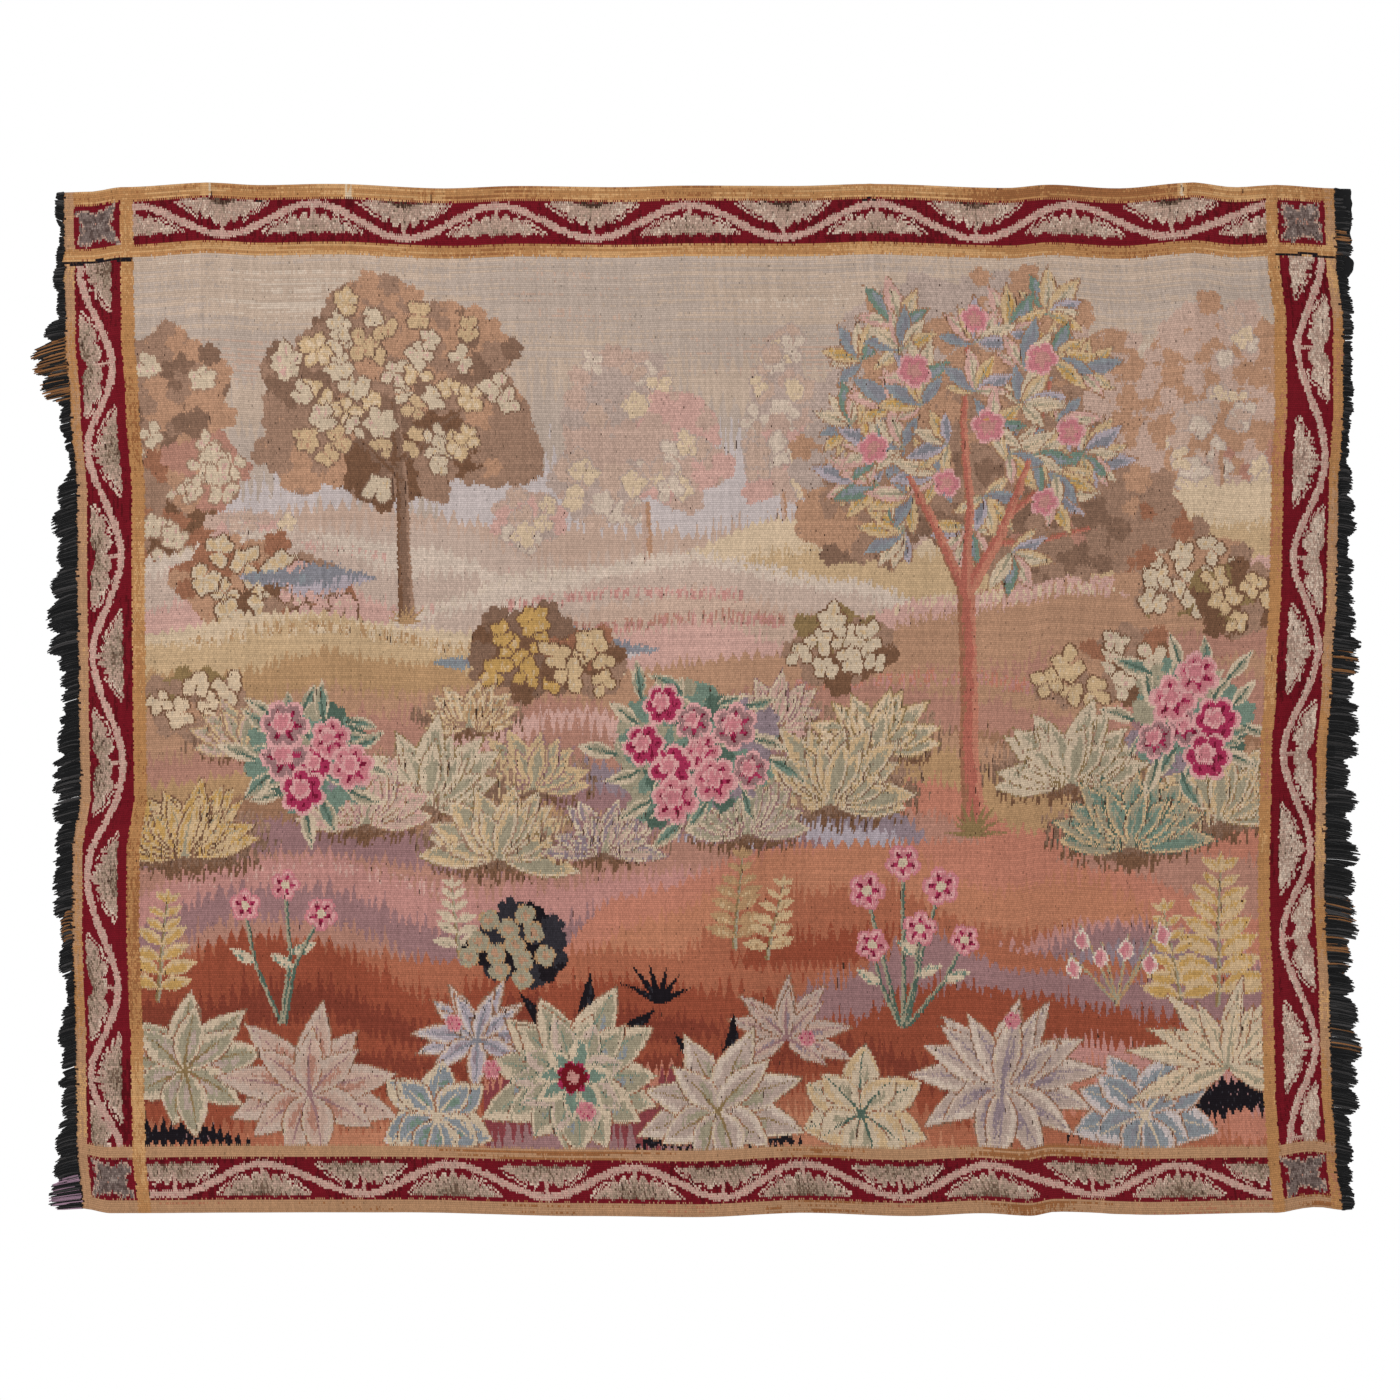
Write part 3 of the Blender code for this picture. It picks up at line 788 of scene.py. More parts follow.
# The field's own design, a garden of trees, shrubs and broad-leaved plants, in places across and down it
GROUNDS = table(
    "name fade tones tooth start stop ridge",
    ("haze", 0.2, "sky sky_grey lavender sky_grey", 0.05, -1, 9,
     ((0.0, 0.15), (0.3, 0.135), (0.7, 0.125), (1.1, 0.15), (1.384, 0.14))),
    ("lavender_bank", 0.15, "sky_grey lavender lavender sky_pink", 0.05, 0.36, 1.16,
     ((0.36, 0.215), (0.6, 0.19), (0.95, 0.205), (1.15, 0.235))),
    ("far_bank", 0.1, "sky_pink dune rose_pale", 0.03, -1, 9,
     ((0.0, 0.32), (0.25, 0.3), (0.55, 0.33), (0.9, 0.335), (1.384, 0.3))),
    ("far_hill", 0.14, "sand_light sand rose_tan", 0.012, 0.62, 9,
     ((0.62, 0.37), (0.78, 0.318), (1.0, 0.3), (1.2, 0.29), (1.384, 0.27))),
    ("left_slope", 0.13, "dune_light dune rose_pale rose_tan", 0.016, -1, 0.63,
     ((0.0, 0.365), (0.16, 0.33), (0.34, 0.35), (0.5, 0.4), (0.62, 0.43))),
    ("middle_slope", 0.11, "dune_light dune sky_pink rose_pale", 0.018, 0.3, 1.06,
     ((0.3, 0.44), (0.48, 0.385), (0.66, 0.36), (0.86, 0.395), (1.06, 0.45))),
    ("right_slope", 0.18, "rose_pale tan rose_tan coral_light", 0.016, 0.8, 9,
     ((0.8, 0.46), (0.98, 0.41), (1.16, 0.385), (1.384, 0.36))),
    ("golden_bank", 0.12, "sand_light sand olive tan", 0.014, -1, 0.75,
     ((0.0, 0.455), (0.18, 0.43), (0.36, 0.45), (0.56, 0.5), (0.74, 0.53))),
    ("middle_ground", 0.2, "tan rose_tan tan_deep mauve tan", 0.02, -1, 9,
     ((0.0, 0.56), (0.22, 0.545), (0.5, 0.505), (0.78, 0.48), (1.1, 0.505), (1.384, 0.48))),
    ("rose_swell", 0.1, "rose_pale rose_tan mauve_grey mauve", 0.018, 0.3, 0.78,
     ((0.3, 0.625), (0.38, 0.575), (0.53, 0.545), (0.68, 0.58), (0.78, 0.64))),
    ("left_meadow", 0.15, "olive tan_deep mauve rose_tan", 0.02, -1, 0.63,
     ((0.0, 0.64), (0.2, 0.615), (0.4, 0.64), (0.62, 0.69))),
    ("right_meadow", 0.14, "tan olive coral_light rose_tan", 0.02, 0.74, 9,
     ((0.74, 0.665), (0.84, 0.6), (0.96, 0.572), (1.15, 0.6), (1.384, 0.59))),
    ("plum_hollow", 0.09, "mauve_grey lavender_deep mauve mauve", 0.018, 0.62, 1.02,
     ((0.62, 0.745), (0.7, 0.675), (0.8, 0.65), (0.92, 0.665), (1.02, 0.74))),
    ("pink_bank", 0.12, "rose_tan rose mauve rose_tan", 0.024, -1, 0.84,
     ((0.0, 0.74), (0.2, 0.72), (0.42, 0.745), (0.66, 0.7), (0.8, 0.72))),
    ("ember_bank", 0.15, "coral_light terracotta_light terracotta rust", 0.02, 0.48, 9,
     ((0.48, 0.86), (0.6, 0.77), (0.8, 0.712), (1.02, 0.705), (1.2, 0.74), (1.384, 0.8))),
    ("mauve_patch", 0.08, "rose mauve mauve_grey mauve", 0.022, 1.0, 9,
     ((1.0, 0.88), (1.08, 0.83), (1.2, 0.8), (1.32, 0.815), (1.384, 0.85))),
    ("low_bank", 0.12, "terracotta rust rust_deep rust", 0.024, -1, 0.86,
     ((0.0, 0.85), (0.15, 0.82), (0.36, 0.85), (0.58, 0.835), (0.8, 0.86))),
    ("low_right", 0.14, "terracotta mauve rust rust", 0.024, 0.72, 9,
     ((0.72, 0.97), (0.84, 0.862), (0.98, 0.81), (1.16, 0.85), (1.384, 0.868))),
    ("foot", 0.12, "rust rust_deep rust terracotta terracotta_light", 0.03, -1, 9,
     ((0.0, 0.96), (0.25, 0.95), (0.5, 0.965), (0.78, 0.93), (1.0, 0.955), (1.384, 0.965))),
    ("plum_foot", 0.1, "coral_light plum plum mauve", 0.04, 0.42, 0.72,
     ((0.42, 0.985), (0.52, 0.95), (0.64, 0.975), (0.72, 1.01))),
    ("rose_foot", 0.1, "rose coral_light terracotta", 0.04, 1.02, 9,
     ((1.02, 0.985), (1.16, 0.945), (1.3, 0.96), (1.384, 0.99))),
)
HATCHED_LINES = table(
    "ground line height tones chance",
    ("middle_slope", ((0.3, 0.445), (0.48, 0.392), (0.66, 0.368), (0.86, 0.402), (1.0, 0.438)), 0.016,
     "dune_light sky_light", 0.7),
    ("middle_slope", ((0.44, 0.425), (0.6, 0.408), (0.74, 0.412)), 0.012, "rose rose_pale", 0.55),
    ("middle_slope", ((0.52, 0.455), (0.7, 0.44), (0.88, 0.452)), 0.014, "rose rose_tan", 0.55),
    ("left_slope", ((0.02, 0.385), (0.16, 0.352), (0.3, 0.368)), 0.012, "rose_pale dune_light", 0.5),
    ("golden_bank", ((0.04, 0.475), (0.2, 0.455), (0.4, 0.478)), 0.014, "sand_light olive", 0.5),
    ("right_slope", ((0.84, 0.452), (1.0, 0.42), (1.2, 0.405), (1.36, 0.385)), 0.014,
     "rose_pale sand_light", 0.6),
    ("middle_ground", ((0.8, 0.525), (1.0, 0.515), (1.22, 0.54)), 0.016, "rose coral_light", 0.5),
    ("pink_bank", ((0.05, 0.765), (0.22, 0.748), (0.4, 0.772)), 0.016, "rose_pale rose", 0.45),
)


def weave_field(art):
    """The garden, from the sky down to the broad-leaved plants along its foot."""
    whole = field_patch(art)
    wash = 0.1 + 0.8 * art.cloud(0.3, 0.07)[whole.cut] + 0.35 * (whole.thread - 0.5)
    everywhere = np.ones(whole.x.shape, dtype=bool)
    whole.lay(everywhere, "sky_light sky sky_grey sky_pink", wash, strokes=0.5, fleck=0.3)
    for row in GROUNDS[:3]:
        ground(art, row.ridge, row.fade, row.tones, row.tooth, row.start, row.stop, fleck=0.3)
    weave_far_trees(art)
    for row in GROUNDS[3:]:
        ground(art, row.ridge, row.fade, row.tones, row.tooth, row.start, row.stop, fleck=0.45)
        for crest in (line for line in HATCHED_LINES if line.ground == row.name):
            hatching(art, crest.line, crest.height, crest.tones, crest.chance)
        if row.name == "golden_bank":
            weave_pond(art)
        if row.name == "right_slope":
            weave_bushes(art, FAR_BUSHES)
        if row.name == "middle_ground":
            weave_bushes(art, NEAR_BUSHES)
    weave_blossom_tree(art)
    weave_pale_tree(art)
    weave_shrubs(art)
    weave_flowers(art)
    weave_foreground(art)


# Clumps of the far trees, each a lobed mass, those behind first. The first three are a nearer, darker tree
NEAR_CLUMPS = 3
FAR_CLUMPS = table(
    "u v wide tall lobes tones",
    (0.03, 0.19, 0.085, 0.12, 13, "taupe tan taupe_deep"),
    (0.015, 0.32, 0.08, 0.09, 11, "taupe brown_red brown"),
    (0.075, 0.265, 0.05, 0.05, 9, "tan rose_tan taupe"),
    (0.59, 0.19, 0.075, 0.085, 13, "ghost ghost_grey ghost"),
    (0.65, 0.235, 0.07, 0.075, 12, "ghost rose_pale ghost"),
    (0.56, 0.27, 0.06, 0.06, 11, "ghost ghost_grey sky_pink"),
    (0.785, 0.13, 0.026, 0.045, 9, "ghost ghost_grey"),
    (0.782, 0.19, 0.042, 0.05, 11, "ghost_grey ghost"),
    (0.786, 0.252, 0.054, 0.05, 12, "ghost rose_pale ghost"),
    (0.47, 0.318, 0.05, 0.036, 11, "ghost rose_pale ghost_grey"),
    (0.13, 0.345, 0.06, 0.036, 11, "ghost rose_pale tan"),
    (0.88, 0.33, 0.07, 0.04, 11, "ghost_grey rose_pale ghost"),
    (1.31, 0.15, 0.085, 0.105, 13, "ghost tan ghost"),
    (1.35, 0.245, 0.07, 0.085, 12, "tan ghost rose_tan"),
    (1.255, 0.235, 0.055, 0.06, 10, "ghost sky_pink tan"),
)


FAR_TRUNKS = table(
    "u v foot half",
    (0.615, 0.3, 0.375, 0.0065),
    (0.784, 0.29, 0.345, 0.004),
    (1.318, 0.24, 0.33, 0.0075),
)


def weave_crown(art, row, turn, **how):
    """The crown that one row of a table of clumps describes."""
    crown(art, *in_field(row.u, row.v), row.wide, row.tall, row.lobes, row.tones, turn=turn, **how)


def weave_far_trees(art):
    """The faded trees along the skyline, their leaves in small pale clusters."""
    for k, row in enumerate(FAR_CLUMPS):
        x, z = in_field(row.u, row.v)
        weave_crown(art, row, k * 1.7, bite=0.2, fleck=0.55, mottle=0.25)
        near = k < NEAR_CLUMPS
        for j in range(9):
            aside = row.wide * art.draws.uniform(-0.75, 0.75)
            up = row.tall * art.draws.uniform(-0.75, 0.75)
            leaves = int(art.draws.integers(4, 7))
            faded = ("sky_light dune", "sky_pink ghost", "sand_light dune")[j % 3]
            tones = "cream rose_pale" if near else faded
            edge = "taupe tan" if near else "ghost_grey tan"
            size = art.draws.uniform(0.015, 0.022)
            cluster(art, x + aside, z + up, size, leaves, tones, 50 * j, edge, fleck=0.5)
    for row in FAR_TRUNKS:
        head, foot = (row.u, row.v, row.half * 0.8), (row.u + 0.004, row.foot, row.half)
        field_limb(art, (head, foot), "ghost tan")


def weave_pond(art):
    """A still pond in the middle distance."""
    for u, v, wide, tall, tones in (
        (0.52, 0.475, 0.115, 0.026, "blue_grey slate lavender"),
        (0.43, 0.492, 0.075, 0.018, "slate blue_grey"),
        (0.2, 0.392, 0.085, 0.022, "blue_grey slate lavender_deep"),
    ):
        x, z = in_field(u, v)
        patch = Patch(art, x, z, wide, tall * 1.5)
        bank = tall * np.clip(1 - np.abs(patch.x) / wide, 0, 1) ** 0.7
        bank = bank * (0.55 + 0.8 * patch.stroke + 0.25 * np.sin(50 * patch.x))
        share = 0.5 + 0.5 * patch.z / tall + 0.8 * (patch.dapple - 0.5)
        inside = (patch.z > -0.8 * bank) & (patch.z < bank)
        patch.lay(inside, tones, share, strokes=0.8, mottle=0.3, fleck=0.45)


FAR_BUSHES = table(
    "u v wide tall lobes tones posy count",
    (0.12, 0.4, 0.09, 0.06, 15, "brown_red tan brown", "cream cream_yellow rose_pale", 9),
    (0.205, 0.415, 0.06, 0.045, 11, "brown taupe brown_red", "rose_pale cream", 6),
    (1.285, 0.385, 0.085, 0.062, 14, "taupe tan olive_deep", "cream cream_yellow", 9),
    (1.345, 0.415, 0.06, 0.048, 11, "olive_deep brown taupe", "cream_yellow cream", 5),
)
NEAR_BUSHES = table(
    "u v wide tall lobes tones posy count",
    (0.06, 0.545, 0.065, 0.045, 12, "olive_deep taupe tan", "sand_light cream", 6),
    (1.215, 0.495, 0.07, 0.048, 13, "taupe brown_red brown", "cream rose_pale", 7),
    (1.15, 0.515, 0.048, 0.036, 10, "tan taupe", "cream_yellow sand_light", 4),
    (0.47, 0.48, 0.075, 0.055, 13, "brown taupe_deep brown", "ochre cream_yellow", 8),
    (0.545, 0.492, 0.055, 0.042, 11, "brown_red brown taupe", "cream_yellow cream", 6),
    (0.86, 0.475, 0.07, 0.05, 13, "olive_deep taupe brown", "cream cream_yellow", 8),
)


def weave_bushes(art, bushes):
    """Bushes with a few clusters of pale blossom on each."""
    for k, row in enumerate(bushes):
        x, z = in_field(row.u, row.v)
        weave_crown(art, row, k * 2.1, fleck=0.6, mottle=0.3, lift=0.0002)
        for j in range(row.count):
            angle = POSY_TURN * j + k
            away = POSY_REACH * math.sqrt((j + 0.6) / row.count)
            leaves = int(art.draws.integers(4, 7))
            size = art.draws.uniform(0.018, 0.026)
            place = around(x, z, row.wide, row.tall, angle, away)
            cluster(art, *place, size, leaves, row.posy, 70 * j, under="brown", fleck=0.5)


def weave_crown_leaves(art, x, z, wide, tall, count, size, tones, rim, vein, **how):
    """Long leaves laid over a crown, pointing outwards from its branches."""
    for k in range(count):
        angle, away = on_disc(k, count)
        place = around(x, z, wide, tall, angle, away)
        turn = math.degrees(angle) + art.draws.uniform(-50, 50)
        length = size * art.draws.uniform(0.75, 1.15)
        tone = tones[int(art.draws.integers(len(tones)))]
        bend = art.draws.uniform(-0.3, 0.3)
        leaf(art, *place, turn, length, length * 0.36, tone, rim, vein, bend=bend, belly=0.9, **how)


def weave_twigs(art, x, z, wide, tall, count, size, warm, cool):
    """Twigs of long leaves all over a crown, fanned outwards and up, the outer twigs under the inner ones."""
    for k in reversed(range(count)):
        angle, away = on_disc(k, count)
        angle += art.draws.uniform(-0.35, 0.35)
        place = around(x, z, wide, tall, angle, away * art.draws.uniform(0.9, 1.06))
        out = math.degrees(math.atan2(0.8 * math.sin(angle) - 0.55, math.cos(angle)))
        leaves = int(art.draws.integers(6, 9))
        for j in range(leaves):
            spread = (j + 0.5) / leaves - 0.5
            length = size * art.draws.uniform(0.8, 1.15) * (1 - 0.5 * abs(spread))
            turn = out + 190 * spread + art.draws.uniform(-9, 9)
            family = cool if (j + k) % 3 == 0 else warm
            tone = family[int(art.draws.integers(len(family)))]
            look = dict(bend=0.3 * spread, belly=0.9, under="taupe tan_deep", fleck=0.5)
            leaf(art, *place, turn, length, length * 0.34, tone, "", "sage" if family is warm else "", **look)


# Points across and down the field with a half width: the trunk first, then the boughs and the branches
BLOSSOM_TREE_LIMBS = (
    ((1.03, 0.7, 0.015), (1.022, 0.6, 0.0115), (1.016, 0.48, 0.0105), (1.01, 0.4, 0.011)),
    ((1.01, 0.41, 0.01), (1.05, 0.34, 0.0075), (1.085, 0.25, 0.005), (1.11, 0.15, 0.003)),
    ((1.012, 0.41, 0.0095), (0.978, 0.34, 0.007), (0.94, 0.27, 0.005), (0.905, 0.2, 0.003)),
    ((1.01, 0.4, 0.009), (1.014, 0.3, 0.006), (1.004, 0.2, 0.0045), (1.01, 0.11, 0.0025)),
    ((1.062, 0.31, 0.0055), (1.12, 0.265, 0.004), (1.165, 0.215, 0.0025)),
    ((0.96, 0.3, 0.005), (0.905, 0.29, 0.0035), (0.865, 0.262, 0.0025)),
    ((1.045, 0.345, 0.005), (1.11, 0.345, 0.0035), (1.16, 0.33, 0.0025)),
)
# Where each of its blossoms is, and its radius
TREE_BLOSSOMS = (
    (0.945, 0.14, 0.022), (1.1, 0.125, 0.021), (0.895, 0.235, 0.02), (1.035, 0.205, 0.022),
    (1.135, 0.215, 0.019), (0.985, 0.275, 0.018), (1.02, 0.075, 0.018), (1.105, 0.3, 0.018),
)
BLOSSOM_TREE_CLUMPS = table(
    "u v wide tall lobes tones",
    (1.15, 0.205, 0.125, 0.135, 15, "ghost tan ghost"),
    (1.185, 0.315, 0.095, 0.075, 13, "tan taupe brown_red"),
    (1.11, 0.33, 0.09, 0.07, 13, "rose_tan taupe taupe_deep"),
    (0.915, 0.235, 0.12, 0.125, 15, "ghost_grey tan ghost"),
    (0.88, 0.32, 0.08, 0.06, 12, "tan taupe taupe_deep"),
    (1.01, 0.115, 0.16, 0.105, 17, "ghost_grey tan ghost"),
    (1.015, 0.23, 0.16, 0.13, 16, "tan taupe taupe_deep"),
)


def weave_blossom_tree(art):
    """The tall tree with a coral trunk, long cream and blue-grey leaves, and pink blossoms."""
    for k, row in enumerate(BLOSSOM_TREE_CLUMPS):
        weave_crown(art, row, k * 1.3, fleck=0.6, mottle=0.3)
    for points in BLOSSOM_TREE_LIMBS:
        field_limb(art, points, "coral_light coral brown_red")
    cool = ("blue_grey slate blue_deep", "lavender_deep slate blue_grey", "teal blue_grey blue_deep")
    warm = (
        "cream_yellow cream sage", "cream sand_light sage", "cream_yellow ochre sage", "rose_pale cream sand",
    )
    twigs = dict(wide=0.175, tall=0.155, count=34, size=0.058, warm=warm, cool=cool)
    weave_twigs(art, *in_field(1.015, 0.205), **twigs)
    for points in BLOSSOM_TREE_LIMBS[1:4]:
        field_limb(art, points[:3], "coral_light coral", 0.7)
    look = dict(rim="pink_light", star="rose pink", fleck=0.5)
    for u, v, radius in TREE_BLOSSOMS:
        blossom(art, *in_field(u, v), radius, 5, "pink_light pink rose", turn=u * 9, **look)
    grass = dict(size=0.045, count=9, spread=130, tones="olive_deep brown")
    tuft(art, *in_field(1.03, 0.705), fleck=0.5, **grass)


PALE_TREE_TRUNK = (
    (0.322, 0.44, 0.0105), (0.318, 0.36, 0.008), (0.316, 0.29, 0.0075), (0.312, 0.18, 0.005),
)
PALE_TREE_BOUGHS = (
    ((0.316, 0.27, 0.0045), (0.262, 0.215, 0.003), (0.235, 0.165, 0.0018)),
    ((0.314, 0.25, 0.0045), (0.362, 0.205, 0.003), (0.4, 0.18, 0.0018)),
)
PALE_TREE_LEAVES = 44
PALE_TREE_CLUMPS = table(
    "u v wide tall lobes tones",
    (0.345, 0.145, 0.12, 0.105, 15, "taupe tan taupe_deep"),
    (0.245, 0.165, 0.1, 0.09, 14, "taupe_deep taupe tan"),
    (0.42, 0.215, 0.075, 0.07, 11, "tan taupe taupe"),
    (0.3, 0.085, 0.085, 0.065, 12, "taupe tan taupe"),
    (0.31, 0.24, 0.11, 0.062, 14, "taupe_deep brown taupe"),
    (0.2, 0.24, 0.062, 0.052, 10, "taupe tan"),
)


def weave_pale_tree(art):
    """The taupe tree whose leaves stand in cream clusters, with its straight trunk."""
    for k, row in enumerate(PALE_TREE_CLUMPS):
        weave_crown(art, row, k * 1.9, bite=0.2, fleck=0.6, mottle=0.25)
    field_limb(art, PALE_TREE_TRUNK, "taupe taupe_deep brown")
    for points in PALE_TREE_BOUGHS:
        field_limb(art, points, "taupe_deep brown")
    for k in range(PALE_TREE_LEAVES):
        angle, away = on_disc(k, PALE_TREE_LEAVES)
        angle += art.draws.uniform(-0.35, 0.35)
        away *= art.draws.uniform(0.86, 1.06)
        place = in_field(*around(0.308, 0.166, 0.14, 0.116, angle, away))
        tones = ("cream cream_yellow", "cream_yellow sand_light ochre", "cream rose_pale", "sand tan")[k % 4]
        leaves = int(art.draws.integers(4, 7))
        size = art.draws.uniform(0.016, 0.027)
        cluster(art, *place, size, leaves, tones, 80 * k, under="taupe_deep brown", fleck=0.5, lift=0.0002)
    grass = dict(size=0.03, count=7, spread=120, tones="olive olive_deep")
    tuft(art, *in_field(0.322, 0.448), fleck=0.5, **grass)


# Leafy shrubs of the middle ground: fans of narrow leaves from one root
SHRUBS = table(
    "u v size count first last tones rim width under",
    (0.12, 0.6, 0.07, 9, -168, -12, "ghost sage tan", "cream_yellow", 0.36, "tan_deep taupe"),
    (0.4, 0.57, 0.065, 9, -170, -10, "sand_light olive sage", "cream_yellow", 0.36, "tan_deep taupe"),
    (0.78, 0.575, 0.07, 9, -170, -10, "ghost rose_pale tan", "cream", 0.36, "tan_deep mauve"),
    (0.48, 0.645, 0.08, 9, -168, -12, "cream_yellow sage olive", "cream_yellow", 0.34, "taupe mauve"),
    (0.35, 0.665, 0.105, 11, -176, -8, "cream sage ghost_grey", "cream", 0.34, "taupe olive_deep"),
    (0.275, 0.69, 0.085, 9, -165, -15, "rose_pale ghost tan", "cream", 0.38, "mauve tan_deep"),
    (0.445, 0.73, 0.1, 11, -175, -5, "cream_yellow sage olive", "cream", 0.34, "olive_deep taupe"),
    (0.055, 0.73, 0.1, 11, -168, -20, "ochre cream_yellow olive", "cream_yellow", 0.32, "tan_deep brown"),
    (0.905, 0.6, 0.085, 9, -165, -15, "sand_light sage olive", "cream_yellow", 0.34, "taupe olive_deep"),
    (0.85, 0.665, 0.11, 12, -176, -6, "cream_yellow sage tan", "cream", 0.32, "olive_deep taupe_deep"),
    (1.15, 0.64, 0.105, 11, -176, -4, "cream sage teal", "cream", 0.33, "taupe olive_deep"),
    (1.335, 0.685, 0.105, 11, -178, -20, "cream_yellow sage olive", "cream", 0.34, "tan_deep olive_deep"),
    (1.225, 0.715, 0.1, 11, -170, -10, "sage teal blue_grey", "cream_yellow", 0.34, "taupe_deep teal_deep"),
    (0.75, 0.7, 0.08, 9, -170, -10, "sage ghost_grey mauve_grey", "cream", 0.36, "taupe mauve"),
    (0.575, 0.72, 0.075, 9, -170, -10, "mauve_grey ghost sage", "cream", 0.34, "taupe_deep mauve"),
)


FERNS = table(
    "u v height lean pairs tones rim",
    (1.33, 0.905, 0.165, 0.05, 8, "ochre cream_yellow olive", "cream_yellow"),
    (1.285, 0.91, 0.12, -0.15, 7, "cream_yellow ochre olive", ""),
    (0.395, 0.845, 0.085, -0.1, 6, "cream sage", "cream"),
    (0.735, 0.835, 0.11, 0.1, 7, "olive cream_yellow", ""),
    (0.775, 0.85, 0.09, 0.25, 6, "cream_yellow olive", ""),
    (0.02, 0.9, 0.12, 0.12, 7, "cream_yellow ochre olive", ""),
)


def weave_shrubs(art):
    """The leafy shrubs, each with its shade and a second, smaller fan over the first, and the ferns."""
    for row in SHRUBS:
        x, z = in_field(row.u, row.v)
        shade = Patch(art, x, z - row.size * 0.18, row.size * 1.3, row.size * 0.7)
        inside = np.hypot(shade.x / row.size, shade.z / (row.size * 0.45)) < 0.7 + 0.5 * shade.stroke
        shade.lay(inside, "tan taupe taupe_deep brown", 0.55 + shade.z / row.size, mottle=0.4, fleck=0.8)
        middle = (row.first + row.last) / 2
        look = dict(width=row.width, fleck=0.55, mottle=0.25, belly=0.95, under=row.under, lift=0.0002)
        for size, spread in ((1.0, 1.0), (0.72, 0.8)):
            first, last = (middle + (end - middle) * spread for end in (row.first, row.last))
            spray(art, x, z, row.size * size, row.count, first, last, row.tones, row.rim, "sage", **look)
    for row in FERNS:
        look = dict(fleck=0.5, mottle=0.25, lift=0.0002)
        fern(art, *in_field(row.u, row.v), row.height, row.lean, row.pairs, row.tones, row.rim, **look)


def weave_flowers(art):
    """The large flowering shrubs of the middle ground and the flower stalks in front of them."""
    for k, (u, v, wide, tall, heads) in enumerate(FLOWER_SHRUBS):
        x, z = in_field(u, v)
        for j in range(3):
            angle = 2.1 * j + k
            place = x + wide * 0.35 * math.cos(angle), z + tall * 0.3 * math.sin(angle)
            tones = "sage teal teal_deep" if j else "mauve mauve_grey teal"
            crown(art, *place, wide * 0.72, tall * 0.74, 13, tones, turn=k + j, fleck=0.6, mottle=0.35)
        leaves = dict(count=22, size=0.05, tones=("sage teal teal_deep", "cream sage teal"))
        look = dict(rim="cream", vein="teal_deep", fleck=0.5, mottle=0.22, lift=0.0002)
        weave_crown_leaves(art, x, z, wide * 0.95, tall * 0.95, **leaves, **look)
        for j in range(heads):
            angle, away = on_disc(j, heads, 0.3)
            angle += 0.8 * k
            radius = art.draws.uniform(0.024, 0.033)
            place = around(x, z, wide, tall, angle, 0.8 * away)
            tones = ("pink_light pink magenta", "pink magenta wine", "pink_light mauve magenta")[(j + k) % 3]
            look = dict(fleck=0.5, mottle=0.2, lift=0.0003)
            blossom(art, *place, radius, 6, tones, rim="pink_light", star="magenta wine", turn=angle, **look)
            inner = place[0] - 0.003, place[1] - 0.003
            blossom(art, *inner, radius * 0.45, 5, "pink_light pink", turn=-angle, **look)
    for k, (u, v, foot_u, foot_v, radius) in enumerate(STALKS):
        x, z = in_field(u, v)
        foot = in_field(foot_u, foot_v)
        middle = (x + foot[0]) / 2 + 0.012 * math.sin(3 * k), (z + foot[1]) / 2
        limb(art, ((x, z, 0.0022), (*middle, 0.0026), (*foot, 0.003)), "sage teal_deep")
        turn = -150 + 130 * (k % 2)
        leaf(art, *middle, turn, 0.036, 0.014, "teal cream sage", "cream", fleck=0.5, lift=0.0002)
        look = dict(rim="pink", star="magenta wine", heart="cream slate", fleck=0.45, lift=0.0004)
        blossom(art, x, z, radius, 5, "pink_light pink", turn=0.9 * k, **look)
    for k, (u, v) in enumerate(BELLS):
        x, z = in_field(u, v)
        field_limb(art, ((*BELL_ROOT, 0.0022), (u, v, 0.0016)), "olive sage")
        turn = 90 + 12 * math.sin(k)
        leaf(art, x, z, turn, 0.03, 0.02, "pink_light pink rose", "white_wool", belly=1.3, lift=0.0003)


# Large flowering shrubs: across, down, half width, half height and number of flowers
FLOWER_SHRUBS = (
    (0.675, 0.6, 0.105, 0.09, 9),
    (0.2, 0.61, 0.075, 0.07, 6),
    (1.29, 0.56, 0.075, 0.075, 6),
)
# Flower stalks: across and down to the flower, then to the foot, and the flower's radius
STALKS = (
    (0.9, 0.77, 0.935, 0.93, 0.024),
    (0.945, 0.735, 0.94, 0.93, 0.023),
    (0.992, 0.765, 0.945, 0.93, 0.024),
    (0.965, 0.815, 0.94, 0.93, 0.022),
    (0.905, 0.835, 0.935, 0.93, 0.021),
    (1.02, 0.83, 0.948, 0.93, 0.019),
    (0.13, 0.79, 0.17, 0.93, 0.02),
    (0.18, 0.765, 0.172, 0.93, 0.019),
    (0.225, 0.8, 0.176, 0.93, 0.021),
)
# Hanging bell flowers, and the root that their stems share
BELL_ROOT = (1.205, 0.905)
BELLS = ((1.165, 0.815), (1.19, 0.835), (1.222, 0.825), (1.248, 0.842), (1.15, 0.85), (1.262, 0.808))


# Banks of dark shade with a comb edge: their upper and lower lines across the field
DARK_TOOTH = 0.018
DARK_BANKS = table(
    "ridge foot start stop",
    (((1.13, 1.075), (1.2, 1.04), (1.29, 1.012), (1.384, 1.0)),
     ((1.13, 1.08), (1.24, 1.07), (1.31, 1.055), (1.384, 1.046)), 1.13, 9.0),
    (((0.6, 1.082), (0.64, 1.05), (0.7, 1.03), (0.77, 1.05), (0.81, 1.082)),
     ((0.6, 1.09), (0.81, 1.09)), 0.6, 0.81),
    (((0.0, 1.062), (0.06, 1.058), (0.13, 1.08)),
     ((0.0, 1.09), (0.13, 1.09)), -1.0, 0.13),
)


